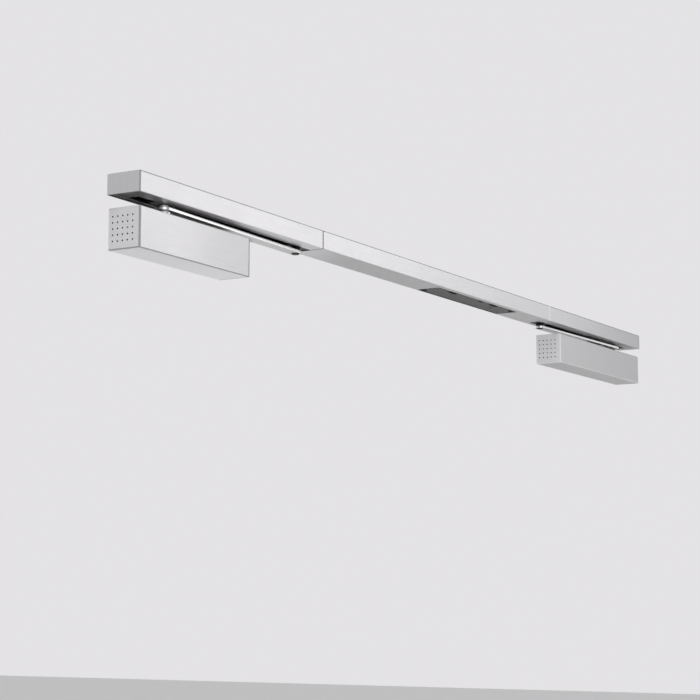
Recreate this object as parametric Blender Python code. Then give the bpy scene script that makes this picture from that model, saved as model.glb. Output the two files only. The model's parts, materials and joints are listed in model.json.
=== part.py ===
"""Double-leaf overhead door closer set: two cam-action slide-arm closers, two arms and one
three-section slide rail with a closing-sequence coordinator and a smoke detector insert.

Frame: metres. +X runs along the rail, from the left leaf to the right leaf. +Y points into the
frame head that the rail is screwed to, so every front faces -Y. +Z is up. The origin is the
middle of the rail's back face. The doors are closed.
"""
import math

import bmesh
import bpy
from mathutils import Matrix, Vector

MM = 0.001

# ---------------------------------------------------------------- driving dimensions, mm
RAIL_HALF = 928.5        # half the length of the whole rail
RAIL_SEAM = 441.3        # the seams between the slide sections and the centre section
RAIL_D = 56.8            # depth of the rail, out from the frame
RAIL_H = 30.2            # height of the rail
RAIL_T = 2.5             # wall of the extrusion
SLOT_FRONT = -33.0       # the arm slot in the underside, front and back edges
SLOT_BACK = -10.0
SLOT_Y = 0.5 * (SLOT_FRONT + SLOT_BACK)
HOLE_R = 2.75            # fixing holes in the rail's back wall
SLIDE_HOLES = (520.0, 640.0, 750.0)
CENTRE_HOLES = (-400.0, -220.0, -50.0, 390.0)

BODY_GAP = 18.4          # from the rail's underside down to the top of a closer
BODY_H = 60.0            # closer height
BODY_D = 54.8            # closer depth
LEN_LEFT = 275.0         # closer length, left leaf
LEN_RIGHT = 429.0        # closer length, right leaf: the same section with a longer spring
INSET = 3.5              # closer's outer end, in from the end of the rail
SPINDLE_S = 86.0         # spindle axis, in from the closer's outer end
SPINDLE_Y = -31.0
EYE_R = 12.0             # arm eye at the spindle
TIP_R = 10.0             # arm eye at the slider pin

ARM_LEN = 370.0          # spindle axis to slider pin axis
ARM_T = 4.5
ARM_UNDER = 69.0         # underside of the arm above the closer's underside

CAM_R0 = 15.5            # roller centre radius at the heart cam's notch
CAM_K = 2.7              # mm of piston travel for each radian of spindle
CAM_PHASE = math.radians(15.0)
ROLLER_R = 6.5
ROLLER_CLEAR = 0.6

BORE_R = 18.0
BORE_Z = 30.0

RECESS_X0, RECESS_X1 = -22.0, 308.0     # detector opening in the centre section's underside
RECESS_Y0, RECESS_Y1 = -46.8, -1.6

DOT_PITCH_Y, DOT_PITCH_Z = 8.7, 8.8
DOT_Y, DOT_Z = -25.3, 30.0
DOT_R = 1.2
DOT_DEPTH = 1.2

# heights are written from the closer's underside; ZB is that underside in the part's frame
ZB = -(RAIL_H / 2 + BODY_GAP + BODY_H)
RAIL_Z0 = BODY_H + BODY_GAP              # rail underside, from the closer's underside
RAIL_Z1 = RAIL_Z0 + RAIL_H
BODY_END = RAIL_HALF - INSET

# ---------------------------------------------------------------- scene
for old in list(bpy.data.objects):
    bpy.data.objects.remove(old, do_unlink=True)

COLL = bpy.context.scene.collection
MATERIALS = {}


def material(name, rgb, rough, metal):
    if name not in MATERIALS:
        m = bpy.data.materials.new(name)
        m.use_nodes = True
        p = m.node_tree.nodes.get("Principled BSDF")
        p.inputs["Base Color"].default_value = (*rgb, 1.0)
        p.inputs["Roughness"].default_value = rough
        p.inputs["Metallic"].default_value = metal
        MATERIALS[name] = m
    return MATERIALS[name]


PALETTE = {
    "anodised": ((0.72, 0.72, 0.73), 0.38, 0.9),
    "cap_grey": ((0.60, 0.60, 0.61), 0.55, 0.1),
    "polished_steel": ((0.85, 0.85, 0.86), 0.16, 1.0),
    "zinc_steel": ((0.58, 0.59, 0.60), 0.35, 1.0),
    "cast_body": ((0.46, 0.47, 0.48), 0.55, 0.7),
    "hard_steel": ((0.42, 0.42, 0.43), 0.28, 1.0),
    "spring_steel": ((0.20, 0.20, 0.21), 0.35, 1.0),
    "black_steel": ((0.03, 0.03, 0.03), 0.40, 0.8),
    "brass": ((0.75, 0.58, 0.28), 0.30, 1.0),
    "black_plastic": ((0.02, 0.02, 0.02), 0.50, 0.0),
    "insert_grey": ((0.10, 0.10, 0.105), 0.55, 0.0),
    "board_green": ((0.02, 0.18, 0.08), 0.50, 0.0),
    "lens_green": ((0.10, 0.55, 0.15), 0.15, 0.0),
}


# ---------------------------------------------------------------- shapes, in mm
# A shape is (points, faces). Heights are from the closer's underside.
def box(x0, x1, y0, y1, z0, z1):
    p = [(x, y, z) for z in (z0, z1) for y in (y0, y1) for x in (x0, x1)]
    f = [(0, 2, 3, 1), (4, 5, 7, 6), (0, 1, 5, 4), (2, 6, 7, 3), (0, 4, 6, 2), (1, 3, 7, 5)]
    return p, f


def prism(outline, axis, a, b):
    """Sweep a closed outline along one axis from a to b."""
    def place(p, h):
        return {"X": (h, p[0], p[1]), "Y": (p[0], h, p[1]), "Z": (p[0], p[1], h)}[axis]
    n = len(outline)
    pts = [place(p, a) for p in outline] + [place(p, b) for p in outline]
    faces = [tuple(range(n)), tuple(range(2 * n - 1, n - 1, -1))]
    faces += [(i, (i + 1) % n, n + (i + 1) % n, n + i) for i in range(n)]
    return pts, faces


def turned(rings, axis, centre, n=24, start=0.0):
    """A solid of revolution from (radius, height) rings. A radius may be a function of angle."""
    pts, faces, rows = [], [], []
    for r, h in rings:
        if not callable(r) and r == 0:
            rows.append([len(pts)])
            pts.append(to_axis(axis, centre, 0, 0, h))
            continue
        row = []
        for i in range(n):
            t = start + 2 * math.pi * i / n
            rr = r(t) if callable(r) else r
            row.append(len(pts))
            pts.append(to_axis(axis, centre, rr * math.cos(t), rr * math.sin(t), h))
        rows.append(row)
    for a, b in zip(rows, rows[1:]):
        if len(a) == 1 and len(b) == 1:
            continue
        for i in range(n):
            j = (i + 1) % n
            if len(a) == 1:
                faces.append((a[0], b[i], b[j]))
            elif len(b) == 1:
                faces.append((a[i], a[j], b[0]))
            else:
                faces.append((a[i], a[j], b[j], b[i]))
    if len(rows[0]) > 1 and not same_ring(rings[0], rings[-1]):
        faces.append(tuple(rows[0]))
    if len(rows[-1]) > 1 and not same_ring(rings[0], rings[-1]):
        faces.append(tuple(reversed(rows[-1])))
    return pts, faces


def same_ring(a, b):
    return (not callable(a[0])) and (not callable(b[0])) and abs(a[0] - b[0]) < 1e-9 and abs(a[1] - b[1]) < 1e-9


def to_axis(axis, c, u, v, h):
    if axis == "Z":
        return (c[0] + u, c[1] + v, h)
    if axis == "X":
        return (h, c[0] + u, c[1] + v)
    return (c[0] + u, h, c[1] + v)


def collar(r_in, r_out, h0, h1, axis, centre, n=24):
    """A ring with a square section."""
    pts, faces = [], []
    for r, h in ((r_in, h0), (r_out, h0), (r_out, h1), (r_in, h1)):
        for i in range(n):
            t = 2 * math.pi * i / n
            pts.append(to_axis(axis, centre, r * math.cos(t), r * math.sin(t), h))
    for k in range(4):
        for i in range(n):
            j = (i + 1) % n
            a, b = k * n, ((k + 1) % 4) * n
            faces.append((a + i, a + j, b + j, b + i))
    return pts, faces


def coil(axis_y, axis_z, x0, x1, radius, wire, turns, per_turn=10, sides=5):
    """A compression spring along X with closed, flattened end turns."""
    steps = int(turns * per_turn)
    pts, faces = [], []
    for s in range(steps + 1):
        t = s / steps
        a = 2 * math.pi * turns * t
        edge = 0.75 / turns
        if t < edge:
            w = 0.30 * t / edge
        elif t > 1 - edge:
            w = 1 - 0.30 * (1 - t) / edge
        else:
            w = 0.30 + 0.40 * (t - edge) / (1 - 2 * edge)
        lo, hi = 0.30, 0.70
        closed = wire * 1.6
        span = x1 - x0 - 2 * wire
        if w <= lo:
            x = x0 + wire + closed * (w / lo)
        elif w >= hi:
            x = x1 - wire - closed * ((1 - w) / lo)
        else:
            x = x0 + wire + closed + (span - 2 * closed) * (w - lo) / (hi - lo)
        cy, cz = math.cos(a), math.sin(a)
        for k in range(sides):
            b = 2 * math.pi * k / sides
            rr = radius + wire * math.cos(b)
            pts.append((x + wire * math.sin(b), axis_y + rr * cy, axis_z + rr * cz))
    for s in range(steps):
        for k in range(sides):
            m = (k + 1) % sides
            a, b = s * sides, (s + 1) * sides
            faces.append((a + k, a + m, b + m, b + k))
    faces.append(tuple(range(sides)))
    faces.append(tuple(reversed(range(steps * sides, (steps + 1) * sides))))
    return pts, faces


def dimpled_plate(x_out, x_in, y0, y1, z0, z1):
    """An end cap: a plate whose outward face, at x_out, has a 5 by 5 grid of round dimples."""
    n = 8
    deep = x_out + (DOT_DEPTH if x_in > x_out else -DOT_DEPTH)
    ys = [y0] + [DOT_Y + (i - 2.5) * DOT_PITCH_Y for i in range(6)] + [y1]
    zs = [z0] + [DOT_Z + (i - 2.5) * DOT_PITCH_Z for i in range(6)] + [z1]
    pts, faces, index = [], [], {}

    def vid(p):
        key = tuple(round(c, 5) for c in p)
        if key not in index:
            index[key] = len(pts)
            pts.append(p)
        return index[key]

    for i in range(7):
        for j in range(7):
            ring = [(ys[i], zs[j]), (ys[i + 1], zs[j]), (ys[i + 1], zs[j + 1]), (ys[i], zs[j + 1])]
            corner = [vid((x_out, a, b)) for a, b in ring]
            if not (1 <= i <= 5 and 1 <= j <= 5):
                faces.append(tuple(corner))
                continue
            cy, cz = 0.5 * (ys[i] + ys[i + 1]), 0.5 * (zs[j] + zs[j + 1])
            top, low = [], []
            for k in range(n):
                t = 2 * math.pi * (k + 0.5) / n
                y, z = cy + DOT_R * math.cos(t), cz + DOT_R * math.sin(t)
                top.append(vid((x_out, y, z)))
                low.append(vid((deep, y, z)))
            # corners run (-,-) (+,-) (+,+) (-,+); hole points k=0 is at +22.5 degrees
            for c, (a, b) in zip(range(4), ((4, 5), (6, 7), (0, 1), (2, 3))):
                faces.append((corner[c], top[b], top[a]))
                nxt = (c + 1) % 4
                a2 = {0: 6, 1: 0, 2: 2, 3: 4}[c]
                faces.append((corner[c], corner[nxt], top[a2], top[b]))
            for k in range(n):
                m = (k + 1) % n
                faces.append((top[k], top[m], low[m], low[k]))
            faces.append(tuple(low))
    # the sides and the back share the grid's border points
    border = [(ys[i], zs[0]) for i in range(8)] + [(ys[7], zs[j]) for j in range(1, 8)]
    border += [(ys[i], zs[7]) for i in range(6, -1, -1)] + [(ys[0], zs[j]) for j in range(6, 0, -1)]
    front = [vid((x_out, a, b)) for a, b in border]
    back = [vid((x_in, a, b)) for a, b in border]
    m = len(border)
    for k in range(m):
        faces.append((front[k], front[(k + 1) % m], back[(k + 1) % m], back[k]))
    faces.append(tuple(back))
    return pts, faces


# ---------------------------------------------------------------- objects
def to_world(side):
    """side 0: the point's own x. side -1: x counts in from the left end. +1: from the right."""
    if side == 0:
        return Matrix.Translation((0, 0, ZB * MM)) @ Matrix.Scale(MM, 4)
    if side < 0:
        return Matrix.Translation((-BODY_END * MM, 0, ZB * MM)) @ Matrix.Scale(MM, 4)
    flip = Matrix.Diagonal((-1, 1, 1, 1))
    return Matrix.Translation((BODY_END * MM, 0, ZB * MM)) @ flip @ Matrix.Scale(MM, 4)


def mesh_from(name, shapes, side, origin=(0, 0, 0)):
    m = to_world(side)
    o = m @ Vector(origin) if origin is not None else Vector((0, 0, 0))
    bm = bmesh.new()
    for pts, faces in shapes:
        vs = [bm.verts.new((m @ Vector(p)) - o) for p in pts]
        bm.verts.index_update()
        for f in faces:
            bm.faces.new([vs[i] for i in f])
    bmesh.ops.recalc_face_normals(bm, faces=bm.faces)
    me = bpy.data.meshes.new(name)
    bm.to_mesh(me)
    bm.free()
    return me, o


def piece(name, shape, mat, side=0, origin=None, smooth=False):
    me, o = mesh_from(name, [shape], side, origin)
    if smooth:
        me.shade_smooth()
        me.set_sharp_from_angle(angle=math.radians(35))
    me.materials.append(material(mat, *PALETTE[mat]))
    ob = bpy.data.objects.new(name, me)
    ob.location = o
    COLL.objects.link(ob)
    return ob


def cut(target, shape, side=0, op="DIFFERENCE"):
    i = len([m for m in target.modifiers if m.type == "BOOLEAN"])
    name = "tool_%s_%d" % (target.name, i)
    me, _ = mesh_from(name, [shape], side, None)
    ob = bpy.data.objects.new(name, me)
    ob.hide_render = True
    ob.display_type = "WIRE"
    COLL.objects.link(ob)
    mod = target.modifiers.new("bool_%d" % i, "BOOLEAN")
    mod.operation = op
    mod.solver = "EXACT"
    mod.object = ob
    return ob


def rod_z(x, y, r, z0, z1, n=24):
    return turned([(0, z0), (r, z0), (r, z1), (0, z1)], "Z", (x, y), n)


def rod_x(y, z, r, x0, x1, n=24):
    return turned([(0, x0), (r, x0), (r, x1), (0, x1)], "X", (y, z), n)


def rod_y(x, z, r, y0, y1, n=16):
    return turned([(0, y0), (r, y0), (r, y1), (0, y1)], "Y", (x, z), n)


# ================================================================ the rail
def channel(z_in=RAIL_T):
    """The slide section: a box extrusion with a slot in its underside."""
    d, t = RAIL_D, RAIL_T
    z0, z1 = RAIL_Z0, RAIL_Z1
    return [(-d, z0), (SLOT_FRONT, z0), (SLOT_FRONT, z0 + z_in), (-d + t, z0 + z_in), (-d + t, z1 - t),
            (-t, z1 - t), (-t, z0 + z_in), (SLOT_BACK, z0 + z_in), (SLOT_BACK, z0), (0, z0), (0, z1), (-d, z1)]


END_T = 2.2              # thickness of a rail end cap's plate
SLOT_START = 30.0        # where the slot opens, in from the end of the rail

for sgn, tag in ((-1, "left"), (1, "right")):
    lo, hi = sorted((sgn * (RAIL_HALF - END_T - 0.3), sgn * (RAIL_SEAM + 0.15)))
    slide = piece("slide_rail_" + tag, prism(channel(), "X", lo, hi), "anodised")
    for x in SLIDE_HOLES:
        cut(slide, rod_y(sgn * x, RAIL_Z0 + 0.5 * RAIL_H, HOLE_R, -6.0, 4.0, 16))

    # end cap: a plate, with a plug inside the extrusion that also closes the slot's end
    a, b = sorted((sgn * RAIL_HALF, sgn * (RAIL_HALF - END_T)))
    cap = piece("rail_end_cap_" + tag, box(a, b, -RAIL_D, 0, RAIL_Z0, RAIL_Z1), "anodised")
    a, b = sorted((sgn * (RAIL_HALF - END_T + 1.0), sgn * (RAIL_HALF - SLOT_START)))
    t = RAIL_T + 0.4
    plug = [(SLOT_FRONT + 0.4, RAIL_Z0 + 0.2), (SLOT_BACK - 0.4, RAIL_Z0 + 0.2), (SLOT_BACK - 0.4, RAIL_Z0 + t),
            (-t, RAIL_Z0 + t), (-t, RAIL_Z1 - t), (-RAIL_D + t, RAIL_Z1 - t), (-RAIL_D + t, RAIL_Z0 + t),
            (SLOT_FRONT + 0.4, RAIL_Z0 + t)]
    cut(cap, prism(plug, "X", a, b), op="UNION")

# centre section: a closed box extrusion, with the detector opening in its underside
centre = piece("centre_rail", box(-RAIL_SEAM + 0.15, RAIL_SEAM - 0.15, -RAIL_D, 0, RAIL_Z0, RAIL_Z1), "anodised")
cut(centre, box(-RAIL_SEAM - 5, RAIL_SEAM + 5, -RAIL_D + RAIL_T, -RAIL_T, RAIL_Z0 + RAIL_T, RAIL_Z1 - RAIL_T))
for x in CENTRE_HOLES:
    cut(centre, rod_y(x, RAIL_Z0 + 0.5 * RAIL_H, HOLE_R, -6.0, 4.0, 16))
cut(centre, box(RECESS_X0, RECESS_X1, RECESS_Y0, RECESS_Y1, RAIL_Z0 - 3, RAIL_Z0 + RAIL_T + 1))

# detector insert: a tray that closes the opening from inside the section
TRAY_Z0 = RAIL_Z0 + 0.9
tray = piece("detector_tray", box(RECESS_X0 + 0.4, RECESS_X1 - 0.4, RECESS_Y0 + 0.4, RECESS_Y1 - 1.4,
                                  TRAY_Z0, RAIL_Z0 + 18), "insert_grey")
cut(tray, box(RECESS_X0 + 2.4, RECESS_X1 - 2.4, RECESS_Y0 + 2.4, RECESS_Y1 - 3.4, TRAY_Z0 + 2.0, RAIL_Z0 + 30))
BUTTON_X, LENS_X, INSERT_Y = 236.0, 252.0, -24.0
cut(tray, rod_z(BUTTON_X, INSERT_Y, 3.9, TRAY_Z0 - 2, TRAY_Z0 + 6, 20))
cut(tray, rod_z(LENS_X, INSERT_Y, 2.4, TRAY_Z0 - 2, TRAY_Z0 + 6, 16))
# smoke inlet slits along the front edge, under the measuring chamber and at both ends
for x0, x1 in ((15.0, 47.0), (147.0, 160.0), (190.0, 221.0)):
    cut(tray, box(x0, x1, RECESS_Y0 - 1.0, RECESS_Y0 + 2.2, TRAY_Z0 - 1.0, TRAY_Z0 + 1.2))

IN_Z = TRAY_Z0 + 2.3
piece("smoke_chamber", turned([(0, IN_Z), (5.0, IN_Z), (5.0, IN_Z + 9.0), (16.4, IN_Z + 9.0), (16.4, IN_Z), (18.4, IN_Z),
                               (18.4, IN_Z + 11.0), (0, IN_Z + 11.0)], "Z", (170.0, -24.7), 24), "black_plastic",
      smooth=True)
piece("control_board", box(8.0, 124.0, -43.0, -6.0, IN_Z + 3.0, IN_Z + 4.6), "board_green")
piece("power_supply", box(268.0, 302.0, -42.0, -8.0, IN_Z, IN_Z + 14.0), "black_plastic")
piece("reset_button", turned([(0, TRAY_Z0 - 0.6), (3.4, TRAY_Z0 - 0.6), (3.4, IN_Z + 0.1), (5.2, IN_Z + 0.1),
                              (5.2, IN_Z + 2.6), (0, IN_Z + 2.6)], "Z", (BUTTON_X, INSERT_Y), 20),
      "insert_grey", origin=(BUTTON_X, INSERT_Y, TRAY_Z0), smooth=True)
piece("indicator_lens", turned([(0, TRAY_Z0 - 0.3), (1.4, TRAY_Z0 - 0.3), (2.0, TRAY_Z0 + 0.3), (2.0, IN_Z + 0.1),
                                (3.4, IN_Z + 0.1), (3.4, IN_Z + 2.2), (0, IN_Z + 2.2)], "Z", (LENS_X, INSERT_Y), 16),
      "lens_green", smooth=True)

# closing-sequence coordinator: a rod through all three sections and a lever in each slide section
ROD_Y, ROD_Z = -50.3, RAIL_Z0 + 13.6
piece("coordinator_rod", rod_x(ROD_Y, ROD_Z, 2.1, -452.0, 452.0, 12), "zinc_steel", origin=(0, ROD_Y, ROD_Z),
      smooth=True)
for sgn, name in ((-1, "release_lever"), (1, "clamp_lever")):
    pts = [(455.0, -53.4), (506.0, -53.4), (506.0, -41.2), (498.0, -41.2), (492.0, -47.6), (455.0, -47.6)]
    piece(name, prism([(sgn * x, y) for x, y in pts], "Z", RAIL_Z0 + 8.0, RAIL_Z0 + 18.0), "zinc_steel",
          origin=(sgn * 458.0, -50.0, RAIL_Z0 + 13.0))

# electromagnetic hold-open units, past the end of each slide block's travel
for sgn, tag in ((-1, "left"), (1, "right")):
    a, b = sorted((sgn * 780.0, sgn * 848.0))
    unit = piece("hold_open_unit_" + tag, box(a, b, -53.4, -3.4, RAIL_Z0 + 3.4, RAIL_Z1 - 3.4), "zinc_steel")
    # a pocket in the face that the slide block meets, for the magnet's jaw
    a, b = sorted((sgn * 778.0, sgn * 790.0))
    cut(unit, box(a, b, -38.0, -5.0, RAIL_Z0 + 2.0, RAIL_Z0 + 17.0))


# ================================================================ arms and slide blocks
PIN_S = SPINDLE_S + math.sqrt(ARM_LEN ** 2 - (SLOT_Y - SPINDLE_Y) ** 2)


def arm_outline(x0, y0, r0, x1, y1, r1, n=9):
    """Two round eyes joined by their common tangents."""
    d = math.hypot(x1 - x0, y1 - y0)
    a = math.atan2(y1 - y0, x1 - x0)
    b = math.acos((r0 - r1) / d)
    pts = []
    for i in range(n):
        t = a + b + (2 * math.pi - 2 * b) * i / (n - 1)
        pts.append((x0 + r0 * math.cos(t), y0 + r0 * math.sin(t)))
    for i in range(n):
        t = a - b + 2 * b * i / (n - 1)
        pts.append((x1 + r1 * math.cos(t), y1 + r1 * math.sin(t)))
    return pts


for side, tag in ((-1, "left"), (1, "right")):
    sx, sy = SPINDLE_S, SPINDLE_Y
    arm = piece("arm_" + tag, prism(arm_outline(sx, sy, EYE_R, PIN_S, SLOT_Y, TIP_R), "Z", ARM_UNDER, ARM_UNDER + ARM_T),
                "polished_steel", side, (PIN_S, SLOT_Y, ARM_UNDER))
    # a square drive hole at the spindle, a round one at the pin
    cut(arm, box(sx - 6.3, sx + 6.3, sy - 6.3, sy + 6.3, ARM_UNDER - 5, ARM_UNDER + ARM_T + 5), side)
    cut(arm, rod_z(PIN_S, SLOT_Y, 5.4, ARM_UNDER - 5, ARM_UNDER + ARM_T + 5, 20), side)

    top = ARM_UNDER + ARM_T
    piece("arm_screw_" + tag, turned([(0, 61.0), (2.9, 61.0), (2.9, top + 0.4), (7.6, top + 0.4), (7.6, top + 2.6),
                                      (5.6, top + 4.2), (0, top + 4.2)], "Z", (sx, sy), 18), "zinc_steel", side,
          (sx, sy, top), smooth=True)

    # riveted slider pin: head under the arm, collar between the arm and the slide block
    piece("slider_pin_" + tag, turned([(0, 67.3), (5.9, 67.3), (6.5, 67.8), (6.5, 68.7), (5.0, 68.7), (5.0, top + 0.4),
                                       (8.0, top + 0.4), (8.0, RAIL_Z0 - 0.2), (5.0, RAIL_Z0 - 0.2),
                                       (5.0, RAIL_Z0 + 15.0), (0, RAIL_Z0 + 15.0)], "Z", (PIN_S, SLOT_Y), 20),
          "black_steel", side, (PIN_S, SLOT_Y, top), smooth=True)

    # slide block: a neck in the slot, a wide foot on the two lips inside the channel
    lip = RAIL_Z0 + RAIL_T + 0.4
    tee = [(SLOT_FRONT + 0.6, RAIL_Z0 + 0.4), (SLOT_BACK - 0.6, RAIL_Z0 + 0.4), (SLOT_BACK - 0.6, lip), (-5.0, lip),
           (-5.0, RAIL_Z0 + 18.0), (-38.0, RAIL_Z0 + 18.0), (-38.0, lip), (SLOT_FRONT + 0.6, lip)]
    block = piece("slide_block_" + tag, prism(tee, "X", PIN_S - 22.0, PIN_S + 22.0), "black_plastic", side,
                  (PIN_S, SLOT_Y, RAIL_Z0))
    cut(block, rod_z(PIN_S, SLOT_Y, 5.4, RAIL_Z0 - 5, RAIL_Z0 + 15.6, 20), side)


# ================================================================ closers
def cam_radius(t):
    """The heart cam. Two rollers on opposite sides always stay in touch, because the
    outline's diameter is constant."""
    psi = (t - CAM_PHASE + math.pi) % (2 * math.pi) - math.pi
    return CAM_R0 + CAM_K * abs(psi) - ROLLER_R - ROLLER_CLEAR


for side, tag, length in ((-1, "left", LEN_LEFT), (1, "right", LEN_RIGHT)):
    sx, sy, bz = SPINDLE_S, SPINDLE_Y, BORE_Z

    # ---- shells
    plate = piece("mounting_plate_" + tag, box(4.0, length - 4.0, -3.0, 0.0, 3.0, 57.0), "zinc_steel", side)
    for x in (18.0, length - 18.0):
        for z in (9.0, 51.0):
            cut(plate, rod_y(x, z, 2.75, -6.0, 3.0, 10), side)

    house = piece("housing_" + tag, box(6.0, length - 6.0, -52.8, -3.4, 5.0, 55.0), "cast_body", side)
    cut(house, rod_x(sy, bz, BORE_R, -10.0, length + 10.0, 32), side)
    cut(house, rod_z(sx, sy, 14.3, -5.0, 65.0, 24), side)
    for x in (52.0, 112.0):
        cut(house, rod_y(x, 10.4, 3.2, -56.0, -40.8, 12), side)

    t = 1.6
    shell = [(-1.0, 0.0), (-BODY_D, 0.0), (-BODY_D, BODY_H), (-1.0, BODY_H), (-1.0, BODY_H - t), (-BODY_D + t, BODY_H - t),
             (-BODY_D + t, t), (-1.0, t)]
    cover = piece("cover_" + tag, prism(shell, "X", 3.3, length - 3.3), "anodised", side)
    # the notch lets the cover slide on past the spindle from the front
    notch = [(sx + 13.0, 5.0), (sx - 13.0, 5.0)]
    notch += [(sx - 13.0 * math.cos(math.pi * i / 10), sy - 13.0 * math.sin(math.pi * i / 10)) for i in range(11)]
    cut(cover, prism(notch, "Z", BODY_H - 5.0, BODY_H + 5.0), side)

    piece("end_cap_outer_" + tag, dimpled_plate(0.0, 3.0, -BODY_D, -0.6, 0.0, BODY_H), "cap_grey", side)
    piece("end_cap_inner_" + tag, dimpled_plate(length, length - 3.0, -BODY_D, -0.6, 0.0, BODY_H), "cap_grey", side)

    # ---- spindle with its heart cam, and the two bearings
    spindle = piece("spindle_" + tag, turned([(0, 6.5), (8.0, 6.5), (8.0, 25.0), (cam_radius, 25.0), (cam_radius, 35.0),
                                              (8.0, 35.0), (8.0, 60.8), (11.0, 60.8), (11.0, 66.0), (9.6, 68.6),
                                              (0, 68.6)], "Z", (sx, sy), 32),
                    "polished_steel", side, (sx, sy, 0.0), smooth=True)
    # the square end that drives the arm, with the thread for the arm's screw
    cut(spindle, box(sx - 5.9, sx + 5.9, sy - 5.9, sy + 5.9, 67.0, 73.2), side, "UNION")
    cut(spindle, rod_z(sx, sy, 3.3, 60.0, 80.0, 18), side)
    piece("upper_bearing_" + tag, collar(8.5, 13.9, 48.6, 54.8, "Z", (sx, sy), 24), "hard_steel", side, smooth=True)
    piece("lower_bearing_" + tag, collar(8.5, 13.9, 5.2, 11.4, "Z", (sx, sy), 24), "hard_steel", side, smooth=True)

    # ---- pistons and their cam rollers
    d_spring = CAM_R0 + CAM_K * CAM_PHASE
    d_damper = CAM_R0 + CAM_K * (math.pi - CAM_PHASE)
    for name, sign, d, plen in (("spring", 1, d_spring, 30.0), ("damper", -1, d_damper, 30.0)):
        a, b = sorted((sx + sign * (d - 2.0), sx + sign * (d - 2.0 + plen)))
        body = piece("%s_piston_%s" % (name, tag), rod_x(sy, bz, BORE_R - 0.45, a, b, 24), "hard_steel", side,
                     (sx + sign * d, sy, bz), smooth=True)
        a, b = sorted((sx + sign * (d - 4.0), sx + sign * (d + ROLLER_R + 0.8)))
        cut(body, box(a, b, sy - 30, sy + 30, bz - 6.3, bz + 6.3), side)
        piece("%s_roller_%s" % (name, tag), rod_z(sx + sign * d, sy, ROLLER_R, bz - 5.8, bz + 5.8, 20), "hard_steel",
              side, (sx + sign * d, sy, bz), smooth=True)

    # ---- spring, end plugs, adjusters
    s0 = sx + d_spring - 2.0 + 30.0 + 0.6
    s1 = length - 31.0
    piece("closing_spring_" + tag, coil(sy, bz, s0, s1, 13.6, 2.4, (7.0 if length < 300 else 15.0)), "spring_steel", side,
          smooth=True)
    splug = piece("spring_plug_" + tag, rod_x(sy, bz, BORE_R - 0.45, length - 30.4, length - 8.0, 24), "zinc_steel", side,
                  smooth=True)
    cut(splug, rod_x(sy, bz, 5.0, length - 40.0, length, 16), side)
    adj = piece("force_adjuster_" + tag, rod_x(sy, bz, 4.6, length - 24.0, length - 6.4, 16), "zinc_steel", side,
                (length - 15.0, sy, bz), smooth=True)
    hexagon = [(sy + 2.6 * math.cos(math.radians(60 * i)), bz + 2.6 * math.sin(math.radians(60 * i))) for i in range(6)]
    cut(adj, prism(hexagon, "X", length - 12.0, length + 2.0), side)
    piece("damper_plug_" + tag, rod_x(sy, bz, BORE_R - 0.45, 8.0, 22.0, 24), "zinc_steel", side, smooth=True)
    for name, x in (("closing_valve", 52.0), ("latching_valve", 112.0)):
        v = piece("%s_%s" % (name, tag), turned([(0, -51.4), (2.8, -51.4), (2.8, -44.0), (0.8, -41.2), (0, -41.2)], "Y",
                                                (x, 10.4), 12), "brass", side, (x, -46.0, 10.4), smooth=True)
        cut(v, box(x - 5, x + 5, -54.0, -50.2, 10.4 - 0.5, 10.4 + 0.5), side)
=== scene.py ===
"""Looks for the double-leaf overhead door closer set: fine meshes, materials, light and camera.

Lengths in the helpers are in millimetres, in the part's own frame (origin at the middle of the
rail's back face, +X along the rail, fronts facing -Y, +Z up).
"""
import json
import math

import bmesh
import bpy
from mathutils import Matrix, Vector


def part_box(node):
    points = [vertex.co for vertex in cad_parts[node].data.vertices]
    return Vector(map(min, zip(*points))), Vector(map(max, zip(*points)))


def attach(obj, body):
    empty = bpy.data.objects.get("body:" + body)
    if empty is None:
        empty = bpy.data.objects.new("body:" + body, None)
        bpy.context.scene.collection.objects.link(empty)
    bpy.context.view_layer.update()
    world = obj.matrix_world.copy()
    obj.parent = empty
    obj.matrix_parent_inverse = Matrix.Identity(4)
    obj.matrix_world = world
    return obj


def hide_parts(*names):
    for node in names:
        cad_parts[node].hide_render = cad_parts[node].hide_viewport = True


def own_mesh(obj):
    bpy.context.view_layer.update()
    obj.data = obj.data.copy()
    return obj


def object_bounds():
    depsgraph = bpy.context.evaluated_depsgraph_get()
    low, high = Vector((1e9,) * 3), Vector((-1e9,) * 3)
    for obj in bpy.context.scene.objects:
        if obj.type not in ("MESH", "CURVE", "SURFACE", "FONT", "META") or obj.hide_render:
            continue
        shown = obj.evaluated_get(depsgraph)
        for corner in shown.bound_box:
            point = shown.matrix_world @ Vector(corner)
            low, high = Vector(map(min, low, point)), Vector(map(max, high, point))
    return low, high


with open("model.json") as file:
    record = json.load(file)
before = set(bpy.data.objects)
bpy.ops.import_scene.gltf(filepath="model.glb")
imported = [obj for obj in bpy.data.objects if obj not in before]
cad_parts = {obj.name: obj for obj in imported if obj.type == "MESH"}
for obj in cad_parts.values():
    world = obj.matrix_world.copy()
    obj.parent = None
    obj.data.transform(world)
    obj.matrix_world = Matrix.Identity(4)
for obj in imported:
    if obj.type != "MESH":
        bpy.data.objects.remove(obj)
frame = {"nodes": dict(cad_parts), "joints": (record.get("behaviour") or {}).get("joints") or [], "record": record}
NODES = frame["nodes"]
JOINTS = {j["name"]: j for j in frame["joints"]}
BODY_OF = {n: b for b, ns in frame["record"]["behaviour"]["bodies"].items() for n in ns}
cad_lo, cad_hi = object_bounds()
cad_lo, cad_hi = list(cad_lo), list(cad_hi)

MM = 0.001
SCENE = bpy.context.scene
COLL = SCENE.collection


def nbox(node):
    lo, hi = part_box(node)
    return [c / MM for c in lo], [c / MM for c in hi]


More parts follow.
